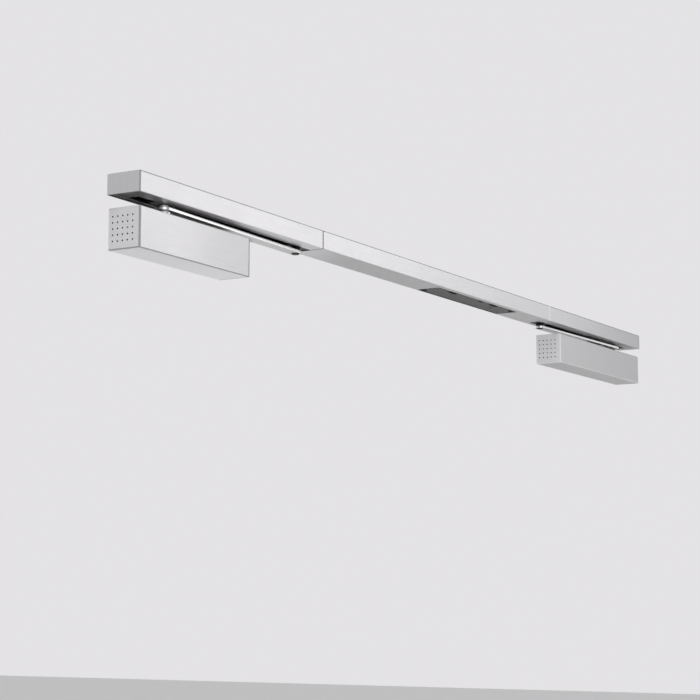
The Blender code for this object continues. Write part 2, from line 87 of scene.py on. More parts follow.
# ================================================================ materials
class Graph:
    """A small builder for shader node trees, in the object's own coordinates."""

    def __init__(self, name):
        self.mat = bpy.data.materials.new(name)
        self.mat.use_nodes = True
        self.nt = self.mat.node_tree
        self.nt.nodes.clear()
        self.out = self.nt.nodes.new("ShaderNodeOutputMaterial")
        self.bsdf = self.nt.nodes.new("ShaderNodeBsdfPrincipled")
        self.nt.links.new(self.bsdf.outputs[0], self.out.inputs[0])
        self.coord = self.nt.nodes.new("ShaderNodeTexCoord").outputs["Object"]

    def node(self, kind, **props):
        n = self.nt.nodes.new(kind)
        for k, v in props.items():
            setattr(n, k, v)
        return n

    def link(self, a, b):
        self.nt.links.new(a, b)

    def stretch(self, sx, sy, sz, rot=(0, 0, 0)):
        n = self.node("ShaderNodeMapping")
        n.inputs["Scale"].default_value = (sx, sy, sz)
        n.inputs["Rotation"].default_value = rot
        self.link(self.coord, n.inputs["Vector"])
        return n.outputs[0]

    def noise(self, vec, scale=1.0, detail=2.0, rough=0.5, distortion=0.0):
        n = self.node("ShaderNodeTexNoise")
        n.inputs["Scale"].default_value = scale
        n.inputs["Detail"].default_value = detail
        n.inputs["Roughness"].default_value = rough
        n.inputs["Distortion"].default_value = distortion
        self.link(vec, n.inputs["Vector"])
        return n.outputs[0]

    def voronoi(self, vec, scale, feature="F1"):
        n = self.node("ShaderNodeTexVoronoi", feature=feature)
        n.inputs["Scale"].default_value = scale
        self.link(vec, n.inputs["Vector"])
        return n.outputs[0]

    def ramp(self, value, lo, hi, a=0.0, b=1.0, smooth=False):
        n = self.node("ShaderNodeMapRange", interpolation_type="SMOOTHSTEP" if smooth else "LINEAR")
        self.link(value, n.inputs[0])
        for i, v in zip((1, 2, 3, 4), (lo, hi, a, b)):
            n.inputs[i].default_value = v
        return n.outputs[0]

    def math(self, op, a, b=None, clamp=False):
        n = self.node("ShaderNodeMath", operation=op, use_clamp=clamp)
        for i, v in enumerate((a, b)):
            if v is None:
                continue
            if isinstance(v, (int, float)):
                n.inputs[i].default_value = v
            else:
                self.link(v, n.inputs[i])
        return n.outputs[0]

    def mix(self, fac, a, b):
        """Mix two colours: each is an RGB tuple or a socket."""
        n = self.node("ShaderNodeMix", data_type="RGBA")
        if isinstance(fac, (int, float)):
            n.inputs[0].default_value = fac
        else:
            self.link(fac, n.inputs[0])
        for i, v in ((6, a), (7, b)):
            if isinstance(v, tuple):
                n.inputs[i].default_value = (*v, 1.0)
            else:
                self.link(v, n.inputs[i])
        return n.outputs[2]

    def bump(self, height, distance, strength=1.0, after=None):
        n = self.node("ShaderNodeBump")
        n.inputs["Strength"].default_value = strength
        n.inputs["Distance"].default_value = distance
        self.link(height, n.inputs["Height"])
        if after is not None:
            self.link(after, n.inputs["Normal"])
        return n.outputs[0]

    def xyz(self):
        n = self.node("ShaderNodeSeparateXYZ")
        self.link(self.coord, n.inputs[0])
        return n.outputs

    def finish(self, colour, rough, metallic=0.0, normal=None, **sockets):
        b = self.bsdf
        self.link(colour, b.inputs["Base Color"])
        self.link(rough, b.inputs["Roughness"])
        if isinstance(metallic, (int, float)):
            b.inputs["Metallic"].default_value = metallic
        else:
            self.link(metallic, b.inputs["Metallic"])
        if normal is not None:
            self.link(normal, b.inputs["Normal"])
        for k, v in sockets.items():
            b.inputs[k.replace("_", " ")].default_value = v
        return self.mat


def shade(rgb, k):
    return tuple(max(0.0, c * k) for c in rgb)


def satin(name, rgb, rough, metallic, streak=0.05, along="X", inside=False, painted_falloff=None, edge=None,
          seam=None):
    """Drawn and brushed aluminium: long streaks along the extrusion, cloudy anodising, fine grain, and, where asked,
    painted shade and highlights.
    """
    g = Graph(name)
    s = {"X": (9.0, 620.0, 620.0), "Z": (620.0, 620.0, 9.0)}[along]
    f = {"X": (60.0, 2600.0, 2600.0), "Z": (2600.0, 2600.0, 60.0)}[along]
    long_ = g.noise(g.stretch(*s), 1.0, 3.0, 0.6)
    fine = g.noise(g.stretch(*f), 1.0, 2.0, 0.6)
    cloud = g.noise(g.coord, 5.0, 3.0, 0.55, 0.4)
    mixed = g.math("ADD", g.math("MULTIPLY", long_, 0.6), g.math("MULTIPLY", cloud, 0.4))
    col = g.mix(g.ramp(mixed, 0.32, 0.68), shade(rgb, 1 - streak), shade(rgb, 1 + 0.5 * streak))
    ro = g.ramp(g.math("ADD", g.math("MULTIPLY", fine, 0.6), g.math("MULTIPLY", cloud, 0.4)), 0.3, 0.7, rough - 0.05,
                rough + 0.06)
    nrm = g.bump(g.math("ADD", long_, g.math("MULTIPLY", fine, 0.7)), 0.00006, 0.5)
    if painted_falloff:
        # painted shade: the colour darkens along the length, except on the covers' undersides
        x, _, z = g.xyz()
        m = g.math("MULTIPLY", g.ramp(x, *painted_falloff, smooth=True),
                   g.math("GREATER_THAN", z, -0.0912))
        col = g.mix(m, col, shade(rgb, 0.0))
    if edge:
        # painted shade or highlight: the rounded front edge is darkened or brightened to the given tone
        y_edge, z_edge, up, depth, tone = edge
        _, y, z = g.xyz()
        soft = 0.0004
        m = g.math("MULTIPLY", g.ramp(y, y_edge - soft, y_edge + soft, depth, 0.0),
                   g.ramp(z, z_edge - soft, z_edge + soft, 0.0 if up else 1.0, 1.0 if up else 0.0))
        col = g.mix(m, col, shade(rgb, tone))
    if seam is not None:
        # painted shadow: the hairline of the open joint between two sections is coloured almost black
        x, _, _ = g.xyz()
        off = g.math("ABSOLUTE", g.math("SUBTRACT", x, seam[0]))
        col = g.mix(g.ramp(off, 0.0009, 0.0013, 0.90, 0.0), col, shade(rgb, 0.05))
        # painted highlight: the other joint, a tight one, is coloured near white along its bevelled edges
        off = g.math("ABSOLUTE", g.math("SUBTRACT", x, seam[1]))
        col = g.mix(g.ramp(off, 0.0017, 0.0023, 1.0, 0.0), col, (0.99, 0.98, 0.99))
    if inside:
        # painted shade: the channel's inner walls are coloured almost black, rougher and less metallic
        _, y, z = g.xyz()
        m = g.math("MULTIPLY", g.math("LESS_THAN", g.math("ABSOLUTE", z), 0.0129),
                   g.math("MULTIPLY", g.math("GREATER_THAN", y, -0.0546), g.math("LESS_THAN", y, -0.0022)))
        dark = g.mix(g.ramp(cloud, 0.35, 0.65), (0.018, 0.018, 0.019), (0.035, 0.034, 0.033))
        col = g.mix(m, col, dark)
        ro = g.math("ADD", ro, g.math("MULTIPLY", m, 0.30), clamp=True)
        metal = g.math("SUBTRACT", metallic, g.math("MULTIPLY", m, metallic * 0.8))
    else:
        metal = metallic
    return g.finish(col, ro, metal, nrm)


def cap_paint(name, rgb, painted_shade=False):
    """Die-cast cap in silver-grey paint with a fine orange-peel texture."""
    g = Graph(name)
    grain = g.noise(g.coord, 1500.0, 2.0, 0.6)
    peel = g.noise(g.coord, 420.0, 2.0, 0.5)
    cloud = g.noise(g.coord, 22.0, 2.0, 0.5)
    col = g.mix(g.ramp(grain, 0.35, 0.65), shade(rgb, 0.94), shade(rgb, 1.05))
    col = g.mix(g.ramp(cloud, 0.4, 0.7, 0.0, 0.25), col, shade(rgb, 0.93))
    ro = g.ramp(peel, 0.3, 0.7, 0.44, 0.58)
    nrm = g.bump(g.math("ADD", grain, g.math("MULTIPLY", peel, 0.8)), 0.00008, 0.5)
    if painted_shade:
        # painted shade: the left cap's rounded rim is coloured darker than its face
        _, y, z = g.xyz()
        m = g.math("MAXIMUM", g.ramp(y, -0.0537, -0.0529, 0.65, 0.0), g.ramp(z, -0.0924, -0.0916, 0.65, 0.0))
        col = g.mix(m, col, shade(rgb, 0.12))
    return g.finish(col, ro, 0.10, nrm)


def polished(name, rgb, rough, under=None):
    g = Graph(name)
    scratch = g.noise(g.stretch(25.0, 1800.0, 1800.0), 1.0, 3.0, 0.7)
    cloud = g.noise(g.coord, 30.0, 3.0, 0.6)
    col = g.mix(g.ramp(cloud, 0.35, 0.65), shade(rgb, 0.96), shade(rgb, 1.02))
    ro = g.ramp(g.math("ADD", g.math("MULTIPLY", scratch, 0.7), g.math("MULTIPLY", cloud, 0.3)), 0.3, 0.7, rough - 0.04,
                rough + 0.08)
    nrm = g.bump(scratch, 0.00003, 0.4)
    if under:
        # the flat underside is darker and rougher than the rest
        _, _, z = g.xyz()
        m = g.math("LESS_THAN", z, under)
        col = g.mix(m, col, shade(rgb, 0.80))
        ro = g.math("ADD", ro, g.math("MULTIPLY", m, 0.10), clamp=True)
    return g.finish(col, ro, 1.0, nrm)


def zinc(name, rgb, rough=0.36):
    """Zinc-plated steel: faint crystalline patches and a little passivation colour."""
    g = Graph(name)
    cells = g.voronoi(g.coord, 170.0)
    cloud = g.noise(g.coord, 40.0, 3.0, 0.6, 0.5)
    tint = g.noise(g.coord, 14.0, 2.0, 0.5)
    col = g.mix(g.ramp(cells, 0.1, 0.7), shade(rgb, 0.92), shade(rgb, 1.06))
    col = g.mix(g.ramp(tint, 0.45, 0.75, 0.0, 0.30), col, (rgb[0] * 1.04, rgb[1], rgb[2] * 0.90))
    ro = g.ramp(cloud, 0.3, 0.7, rough - 0.06, rough + 0.09)
    nrm = g.bump(g.noise(g.coord, 900.0, 2.0, 0.5), 0.00005, 0.35)
    return g.finish(col, ro, 1.0, nrm)


def cast(name, rgb):
    g = Graph(name)
    pits = g.noise(g.coord, 700.0, 3.0, 0.65)
    cloud = g.noise(g.coord, 35.0, 3.0, 0.6)
    col = g.mix(g.ramp(cloud, 0.3, 0.7), shade(rgb, 0.85), shade(rgb, 1.08))
    ro = g.ramp(pits, 0.3, 0.7, 0.48, 0.66)
    nrm = g.bump(pits, 0.00015, 0.6)
    return g.finish(col, ro, 0.75, nrm)


def turned_metal(name, rgb, rough, axis="Z", metallic=1.0):
    """Machined metal with fine tool rings around its axis."""
    g = Graph(name)
    s = {"Z": (50.0, 50.0, 5200.0), "X": (5200.0, 50.0, 50.0), "Y": (50.0, 5200.0, 50.0)}[axis]
    rings = g.noise(g.stretch(*s), 1.0, 2.0, 0.6)
    cloud = g.noise(g.coord, 60.0, 3.0, 0.6)
    col = g.mix(g.ramp(cloud, 0.3, 0.7), shade(rgb, 0.88), shade(rgb, 1.06))
    ro = g.ramp(g.math("ADD", g.math("MULTIPLY", rings, 0.5), g.math("MULTIPLY", cloud, 0.5)), 0.3, 0.7, rough - 0.06,
                rough + 0.08)
    nrm = g.bump(rings, 0.00005, 0.5)
    return g.finish(col, ro, metallic, nrm)


def plastic(name, rgb, rough, grain=1600.0):
    g = Graph(name)
    spark = g.noise(g.coord, grain, 2.0, 0.6)
    cloud = g.noise(g.coord, 28.0, 3.0, 0.55)
    col = g.mix(g.ramp(cloud, 0.3, 0.7), shade(rgb, 0.86), shade(rgb, 1.14))
    ro = g.ramp(g.math("ADD", g.math("MULTIPLY", spark, 0.5), g.math("MULTIPLY", cloud, 0.5)), 0.3, 0.7, rough - 0.07,
                rough + 0.08)
    nrm = g.bump(spark, 0.00007, 0.6)
    return g.finish(col, ro, 0.0, nrm)


def insert_plastic(name, rgb):
    """Fine-grained grey plastic, with painted shade: black in the slits and steps behind its face, and darker towards
    the back.
    """
    g = Graph(name)
    spark = g.noise(g.coord, 1300.0, 2.0, 0.6)
    cloud = g.noise(g.coord, 24.0, 3.0, 0.55)
    col = g.mix(g.ramp(g.math("ADD", g.math("MULTIPLY", spark, 0.4), g.math("MULTIPLY", cloud, 0.6)), 0.3, 0.7),
                shade(rgb, 0.88), shade(rgb, 1.12))
    _, y, z = g.xyz()
    # painted shade: darker towards the back
    col = g.mix(g.ramp(y, -0.040, -0.008, 0.0, 0.45), col, shade(rgb, 0.62))
    # painted shade: the slits and steps above the face are coloured black and made rougher
    painted_shade = g.math("GREATER_THAN", z, -0.01475)
    col = g.mix(painted_shade, col, g.mix(spark, (0.002, 0.002, 0.002), (0.006, 0.006, 0.006)))
    ro = g.math("ADD", g.ramp(spark, 0.3, 0.7, 0.46, 0.58), g.math("MULTIPLY", painted_shade, 0.3), clamp=True)
    return g.finish(col, ro, 0.0, g.bump(spark, 0.00007, 0.6))


def board(name):
    """Printed circuit board: copper tracks under green solder mask."""
    g = Graph(name)
    n = g.node("ShaderNodeTexBrick", offset=0.5)
    n.inputs["Scale"].default_value = 260.0
    n.inputs["Mortar Size"].default_value = 0.03
    n.inputs["Color1"].default_value = (0.012, 0.13, 0.06, 1)
    n.inputs["Color2"].default_value = (0.016, 0.17, 0.075, 1)
    n.inputs["Mortar"].default_value = (0.05, 0.30, 0.10, 1)
    g.link(g.coord, n.inputs["Vector"])
    pads = g.ramp(g.voronoi(g.coord, 210.0), 0.10, 0.16, 1.0, 0.0)
    col = g.mix(pads, n.outputs["Color"], (0.55, 0.50, 0.38))
    ro = g.ramp(g.noise(g.coord, 90.0, 2.0), 0.3, 0.7, 0.26, 0.42)
    return g.finish(col, ro, 0.0, g.bump(n.outputs["Fac"], 0.00004, 0.4))


def lens(name, rgb):
    g = Graph(name)
    cloud = g.noise(g.coord, 500.0, 2.0)
    col = g.mix(g.ramp(cloud, 0.3, 0.7), shade(rgb, 0.85), shade(rgb, 1.1))
    ro = g.ramp(g.noise(g.coord, 900.0, 2.0), 0.3, 0.7, 0.06, 0.14)
    return g.finish(col, ro, 0.0, None, Coat_Weight=0.6, Coat_Roughness=0.05)


ALU = (0.835, 0.822, 0.84)
M = {
    # the rail's aluminium: painted shade along its length, on its top front edge, at the open joint and in the channel;
    # a painted highlight at the tight joint
    "anodised": satin("anodised_aluminium", ALU, 0.36, 0.92, inside=True, painted_falloff=(0.42, 0.93, 0.0, 0.17),
                      edge=(-0.0554, 0.0137, True, 0.75, 0.05), seam=(-0.441, 0.441)),
    # the right cover: painted shade along its length and a painted highlight on its lower front edge
    "cover": satin("cover_aluminium", ALU, 0.38, 0.92, streak=0.06, painted_falloff=(0.45, 0.93, 0.10, 0.15),
                   edge=(-0.0532, -0.0919, False, 0.8, 1.18)),
    # painted light: a brighter copy of the cover aluminium for the left closer, with painted shade along its length and
    # on its lower front edge
    "cover_left": satin("cover_aluminium_lit_copy_left", (0.95, 0.936, 0.955), 0.38, 0.92, streak=0.06,
                        painted_falloff=(-0.88, -0.65, 0.10, 0.26),
                        edge=(-0.0532, -0.0919, False, 0.5, 0.05)),
    # the end plates: painted shade on their front edge
    "endplate": satin("end_plate_aluminium", shade(ALU, 0.93), 0.40, 0.90, along="Z",
                      edge=(-0.0560, -1.0, True, 0.5, 0.05)),
    "cap": cap_paint("cap_grey_paint", (0.84, 0.83, 0.85)),
    # painted light: a brighter copy of the cap paint for the left closer's caps, with painted shade on the rim
    "cap_lit_copy_left": cap_paint("cap_grey_paint_lit_copy_left", (0.92, 0.91, 0.93), painted_shade=True),
    "dot": plastic("cap_dimple_shadow", (0.035, 0.035, 0.036), 0.6),
    "polished": polished("polished_steel", (0.93, 0.92, 0.935), 0.22),
    "arm": polished("arm_steel", (0.93, 0.92, 0.935), 0.22, -0.0244),
    "zinc": zinc("zinc_plated_steel", (0.60, 0.61, 0.62)),
    "cast": cast("cast_aluminium", (0.46, 0.47, 0.48)),
    "hard_z": turned_metal("hardened_steel_turned", (0.45, 0.45, 0.46), 0.26, "Z"),
    "hard_x": turned_metal("hardened_steel_ground", (0.45, 0.45, 0.46), 0.24, "X"),
    "plug_x": turned_metal("zinc_plug_turned", (0.58, 0.59, 0.60), 0.32, "X"),
    "spring": turned_metal("oil_tempered_spring_steel", (0.16, 0.16, 0.17), 0.34, "X"),
    "black": turned_metal("black_oxide_steel", (0.030, 0.030, 0.032), 0.36, "Z", 0.7),
    "brass": turned_metal("turned_brass", (0.75, 0.56, 0.26), 0.28, "Y"),
    "plastic": plastic("black_moulded_plastic", (0.028, 0.028, 0.029), 0.46),
    "insert": insert_plastic("insert_grey_plastic", (0.100, 0.100, 0.105)),
    "board": board("green_circuit_board"),
    "lens": lens("green_lens", (0.045, 0.11, 0.06)),
}


# ================================================================ mesh helpers, millimetres
def to_object(name, bm, mat, smooth=35.0, mats=None):
    bmesh.ops.recalc_face_normals(bm, faces=bm.faces)
    me = bpy.data.meshes.new(name)
    bm.to_mesh(me)
    bm.free()
    me.transform(Matrix.Scale(MM, 4))
    for m in (mats or [mat]):
        me.materials.append(m)
    ob = bpy.data.objects.new(name, me)
    COLL.objects.link(ob)
    if smooth:
        me.shade_smooth()
        me.set_sharp_from_angle(angle=math.radians(smooth))
    return ob


def solid(pts, faces):
    bm = bmesh.new()
    vs = [bm.verts.new(p) for p in pts]
    bm.verts.index_update()
    for f in faces:
        bm.faces.new([vs[i] for i in f])
    return bm


def prism(outline, axis, a, b):
    def place(p, h):
        return {"X": (h, p[0], p[1]), "Y": (p[0], h, p[1]), "Z": (p[0], p[1], h)}[axis]
    n = len(outline)
    pts = [place(p, a) for p in outline] + [place(p, b) for p in outline]
    faces = [tuple(range(n)), tuple(range(2 * n - 1, n - 1, -1))]
    faces += [(i, (i + 1) % n, n + (i + 1) % n, n + i) for i in range(n)]
    bm = solid(pts, faces)
    bmesh.ops.recalc_face_normals(bm, faces=bm.faces)
    return bm


def rect(y0, y1, z0, z1):
    return [(y0, z0), (y1, z0), (y1, z1), (y0, z1)]


def rounded(pts, radii, n=5):
    """Round each corner of a closed outline. radii is one number or one for each corner."""
    out = []
    m = len(pts)
    for i, p in enumerate(pts):
        r = radii[i] if isinstance(radii, (list, tuple)) else radii
        if r <= 0:
            out.append(p)
            continue
        a, b = Vector(pts[i - 1]) - Vector(p), Vector(pts[(i + 1) % m]) - Vector(p)
        half = a.angle(b) / 2
        t = r / math.tan(half)
        pa, pb = Vector(p) + a.normalized() * t, Vector(p) + b.normalized() * t
        c = Vector(p) + (a.normalized() + b.normalized()).normalized() * (r / math.sin(half))
        va, vb = pa - c, pb - c
        a0 = math.atan2(va.y, va.x)
        d = math.atan2(va.x * vb.y - va.y * vb.x, va.dot(vb))
        for k in range(n + 1):
            t_ = a0 + d * k / n
            out.append((c.x + r * math.cos(t_), c.y + r * math.sin(t_)))
    return out


def circle(cx, cy, r, n=48, start=0.0):
    return [(cx + r * math.cos(start + 2 * math.pi * i / n), cy + r * math.sin(start + 2 * math.pi * i / n)) for i in
            range(n)]


def soften(rings, c):
    """Cut each sharp corner of a turned profile by c, in two small steps."""
    out = []
    for i, (r, h) in enumerate(rings):
        if i in (0, len(rings) - 1) or callable(r) or callable(rings[i - 1][0]) or callable(rings[i + 1][0]):
            out.append((r, h))
            continue
        p, a, b = Vector((r, h)), Vector(rings[i - 1]), Vector(rings[i + 1])
        da, db = a - p, b - p
        if da.length < 1e-6 or db.length < 1e-6 or da.angle(db) > math.radians(165):
            out.append((r, h))
            continue
        k = min(c, 0.4 * da.length, 0.4 * db.length)
        p1, p2 = p + da.normalized() * k, p + db.normalized() * k
        q = p1.lerp(p2, 0.5).lerp(p, 0.42)
        out += [tuple(p1), tuple(q), tuple(p2)]
    return out


def lathe(rings, axis, c, n=64, soft=0.25):
    """A solid of revolution from (radius, height) rings; a radius may be a function of angle."""
    rings = soften(rings, soft) if soft else rings
    pts, faces, rows = [], [], []

    def put(u, v, h):
        return {"Z": (c[0] + u, c[1] + v, h), "X": (h, c[0] + u, c[1] + v), "Y": (c[0] + u, h, c[1] + v)}[axis]

    for r, h in rings:
        if not callable(r) and r == 0:
            rows.append([len(pts)])
            pts.append(put(0, 0, h))
            continue
        row = []
        for i in range(n):
            t = 2 * math.pi * i / n
            rr = r(t) if callable(r) else r
            row.append(len(pts))
            pts.append(put(rr * math.cos(t), rr * math.sin(t), h))
        rows.append(row)
    for a, b in zip(rows, rows[1:]):
        for i in range(n):
            j = (i + 1) % n
            if len(a) == 1 and len(b) == 1:
                break
            if len(a) == 1:
                faces.append((a[0], b[i], b[j]))
            elif len(b) == 1:
                faces.append((a[i], a[j], b[0]))
            else:
                faces.append((a[i], a[j], b[j], b[i]))
    bm = solid(pts, faces)
    bmesh.ops.remove_doubles(bm, verts=bm.verts, dist=1e-5)
    bmesh.ops.recalc_face_normals(bm, faces=bm.faces)
    return bm


def ring(r_in, r_out, h0, h1, axis, c, n=64, soft=0.3):
    prof = [(r_in, h0), (r_out, h0), (r_out, h1), (r_in, h1)]
    prof = rounded(prof, soft, 2)
    return lathe(prof + [prof[0]], axis, c, n, 0)


def boolean(ob, bm, op="DIFFERENCE"):
    """Cut or join at once, so that no cutter is left in the scene."""
    tool = to_object(ob.name + "_tool", bm, ob.data.materials[0], 0)
    mod = ob.modifiers.new("cut", "BOOLEAN")
    mod.operation, mod.solver, mod.object = op, "EXACT", tool
    bpy.context.view_layer.update()
    dg = bpy.context.evaluated_depsgraph_get()
    me = bpy.data.meshes.new_from_object(ob.evaluated_get(dg))
    ob.modifiers.clear()
    old = ob.data
    ob.data = me
    me.name = ob.name
    bpy.data.meshes.remove(old)
    tool_me = tool.data
    bpy.data.objects.remove(tool)
    bpy.data.meshes.remove(tool_me)
    return ob


def edges(ob, width, segments=2, angle=35.0):
    """Small rounded edges, and normals that keep the flat faces flat."""
    mod = ob.modifiers.new("edge", "BEVEL")
    mod.width = width * MM
    mod.segments = segments
    mod.limit_method = "ANGLE"
    mod.angle_limit = math.radians(angle)
    mod.use_clamp_overlap = True
    mod.miter_outer = "MITER_ARC"
    ob.data.shade_smooth()
    w = ob.modifiers.new("normals", "WEIGHTED_NORMAL")
    w.keep_sharp = True
    w.weight = 80
    return ob


def place(ob, *nodes, body=None):
    """The piece stands for these CAD nodes and rides on their body."""
    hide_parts(*nodes)
    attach(ob, body or BODY_OF[nodes[0]])
    return ob


# ================================================================ sizes read from the frame
RB = nbox("centre_rail")
RY0, RY1 = RB[0][1], RB[1][1]
RZ0, RZ1 = RB[0][2], RB[1][2]
RAIL_T = 2.5
SLOT0, SLOT1 = -33.0, -10.0
HOLE_R = 2.75


# ================================================================ the rail
def slot_profile():
    d, t, z0, z1 = RY0, RAIL_T, RZ0, RZ1
    pts = [(d, z0), (SLOT0, z0), (SLOT0, z0 + t), (d + t, z0 + t), (d + t, z1 - t), (-t, z1 - t), (-t, z0 + t),
           (SLOT1, z0 + t), (SLOT1, z0), (0, z0), (0, z1), (d, z1)]
    return rounded(pts, [0.9, 0.5, 0.5, 0.8, 0.8, 0.8, 0.8, 0.5, 0.5, 0.4, 0.4, 1.5], 6)


def back_holes(ob, xs):
    zc = 0.5 * (RZ0 + RZ1)
    for x in xs:
        # a plain hole with a countersink on the inside, where the screw's head sits
        bm = lathe([(0, -6.0), (HOLE_R + 1.9, -6.0), (HOLE_R + 1.9, -2.5), (HOLE_R, -0.9), (HOLE_R, 3.0), (0, 3.0)], "Y",
                   (x, zc), 40, 0)
        boolean(ob, bm)


SEAM = 0.5                                    # each section's end stands back by this much
SLIDE_HOLES = (520.0, 640.0, 750.0)
CENTRE_HOLES = (-400.0, -220.0, -50.0, 390.0)
for tag, sgn in (("left", -1), ("right", 1)):
    lo, hi = nbox("slide_rail_" + tag)
    x0, x1 = (lo[0], hi[0] - SEAM) if sgn < 0 else (lo[0] + 0.15, hi[0])
    ob = to_object("slide_section_" + tag, prism(slot_profile(), "X", x0, x1), M["anodised"])
    back_holes(ob, [sgn * x for x in SLIDE_HOLES])
    edges(ob, 0.5, 3, 50)
    place(ob, "slide_rail_" + tag)

    lo, hi = nbox("rail_end_cap_" + tag)
    a, b = (lo[0], lo[0] + 2.2) if sgn < 0 else (hi[0] - 2.2, hi[0])
    ob = to_object("rail_end_plate_" + tag, prism(rounded(rect(RY0, RY1, RZ0, RZ1), [0.9, 0.4, 0.4, 1.5], 6), "X", a, b), M["endplate"])
    pa, pb = (a + 1.2, hi[0]) if sgn < 0 else (lo[0], b - 1.2)
    t = 2.9
    plug = [(SLOT0 + 0.4, RZ0 + 0.2), (SLOT1 - 0.4, RZ0 + 0.2), (SLOT1 - 0.4, RZ0 + t), (-t, RZ0 + t), (-t, RZ1 - t),
            (RY0 + t, RZ1 - t), (RY0 + t, RZ0 + t), (SLOT0 + 0.4, RZ0 + t)]
    boolean(ob, prism(plug, "X", pa, pb), "UNION")
    edges(ob, 0.6, 3, 50)
    place(ob, "rail_end_cap_" + tag)

# centre section: closed box extrusion, with the detector opening
lo, hi = RB
centre = to_object("centre_section", prism(rounded(rect(RY0, RY1, RZ0, RZ1), [0.9, 0.4, 0.4, 1.5], 6), "X",
                                            lo[0] + SEAM, hi[0] - 0.15), M["anodised"])
boolean(centre, prism(rounded(rect(RY0 + RAIL_T, RY1 - RAIL_T, RZ0 + RAIL_T, RZ1 - RAIL_T), 0.8, 3), "X", lo[0] - 5,
                      hi[0] + 5))
TB = nbox("detector_tray")
R_X0, R_X1, R_Y0, R_Y1 = TB[0][0] - 0.4, TB[1][0] + 0.4, TB[0][1] - 0.4, TB[1][1] + 1.4
boolean(centre, prism(rounded([(R_X0, R_Y0), (R_X1, R_Y0), (R_X1, R_Y1), (R_X0, R_Y1)], 0.8, 4), "Z", RZ0 - 3,
                      RZ0 + RAIL_T + 1))
back_holes(centre, CENTRE_HOLES)
edges(centre, 0.5, 3, 50)
place(centre, "centre_rail")

# detector insert
TZ0, TZ1 = TB[0][2] - 0.7, TB[1][2]           # all but flush with the underside around it
tray = to_object("detector_insert", prism(rounded([(TB[0][0], TB[0][1]), (TB[1][0], TB[0][1]), (TB[1][0], TB[1][1]),
                                                   (TB[0][0], TB[1][1])], 0.8, 4), "Z", TZ0, TZ1), M["insert"])
boolean(tray, prism(rounded([(TB[0][0] + 2, TB[0][1] + 2), (TB[1][0] - 2, TB[0][1] + 2), (TB[1][0] - 2, TB[1][1] - 2),
                             (TB[0][0] + 2, TB[1][1] - 2)], 0.8, 3), "Z", TZ0 + 2.0, TZ1 + 6))
bb, lb = nbox("reset_button"), nbox("indicator_lens")
bb, lb = [[(b[0][0], b[0][1], b[0][2] - 0.7), b[1]] for b in (bb, lb)]
bx, by = 0.5 * (bb[0][0] + bb[1][0]), 0.5 * (bb[0][1] + bb[1][1])
lx, ly = 0.5 * (lb[0][0] + lb[1][0]), 0.5 * (lb[0][1] + lb[1][1])
boolean(tray, lathe([(0, TZ0 - 2), (5.2, TZ0 - 2), (3.9, TZ0 + 0.5), (3.9, TZ0 + 6), (0, TZ0 + 6)], "Z", (bx, by), 48, 0))
boolean(tray, lathe([(0, TZ0 - 2), (3.0, TZ0 - 2), (2.4, TZ0 + 0.3), (2.4, TZ0 + 6), (0, TZ0 + 6)], "Z", (lx, ly), 40, 0))
for x0, x1 in ((28.0, 60.0), (154.0, 167.0), (197.0, 229.0)):
    # each smoke inlet is a row of slits with thin ribs between them
    count = max(1, round((x1 - x0) / 6.5))
    step = (x1 - x0) / count
    for k in range(count):
        a = x0 + k * step
        boolean(tray, prism([(a, TB[0][1] - 1.4), (a + step - 0.6, TB[0][1] - 1.4), (a + step - 0.6, TB[0][1] + 10.0),
                             (a, TB[0][1] + 10.0)], "Z", TZ0 - 1.0, TZ0 + 1.6))
# steps at both ends and a groove along the back, where the insert drops into the opening
for x0, x1, y0, y1 in ((TB[0][0] - 1, TB[0][0] + 3.4, TB[0][1] - 1, TB[1][1] + 1),
                       (TB[1][0] - 3.4, TB[1][0] + 1, TB[0][1] - 1, TB[1][1] + 1),
                       (TB[0][0] - 1, TB[1][0] + 1, TB[1][1] - 2.4, TB[1][1] + 1),
                       (TB[0][0] - 1, TB[1][0] + 1, TB[0][1] - 1, TB[0][1] + 1.9)):
    boolean(tray, prism([(x0, y0), (x1, y0), (x1, y1), (x0, y1)], "Z", TZ0 - 1.0, TZ0 + 1.4))
# the two corner cut-outs of the insert's catches
for x, y, dx, dy in ((TB[0][0] - 1, TB[1][1] + 1, 40.0, -19.0), (TB[1][0] + 1, TB[0][1] - 1, -42.0, 20.0)):
    boolean(tray, prism([(x, y), (x + dx, y), (x, y + dy)], "Z", TZ0 - 1.0, TZ0 + 1.4))
edges(tray, 0.12, 2, 50)
place(tray, "detector_tray")

ob = to_object("test_button", lathe([(0, bb[0][2] + 0.15), (1.6, bb[0][2] + 0.12), (2.7, bb[0][2]), (3.4, bb[0][2] + 0.4),
                                     (3.4, TZ0 + 2.4), (5.2, TZ0 + 2.4), (5.2, bb[1][2]), (0, bb[1][2])], "Z", (bx, by),
                                    48, 0.2), M["plastic"])
place(ob, "reset_button")
ob = to_object("status_lens", lathe([(0, lb[0][2]), (0.8, lb[0][2] + 0.06), (1.5, lb[0][2] + 0.3), (2.0, TZ0 + 0.5),
                                     (2.0, TZ0 + 2.4), (3.4, TZ0 + 2.4), (3.4, lb[1][2]), (0, lb[1][2])], "Z", (lx, ly),
                                    40, 0), M["lens"])
place(ob, "indicator_lens")
cb = nbox("smoke_chamber")
cx, cy, cr = 0.5 * (cb[0][0] + cb[1][0]), 0.5 * (cb[0][1] + cb[1][1]), 0.5 * (cb[1][0] - cb[0][0])
ob = to_object("measuring_chamber", lathe([(0, cb[0][2]), (5.0, cb[0][2]), (5.0, cb[1][2] - 2), (cr - 2, cb[1][2] - 2),
                                           (cr - 2, cb[0][2]), (cr, cb[0][2]), (cr, cb[1][2]), (0, cb[1][2])], "Z",
                                          (cx, cy), 72, 0.3), M["plastic"])
place(ob, "smoke_chamber")


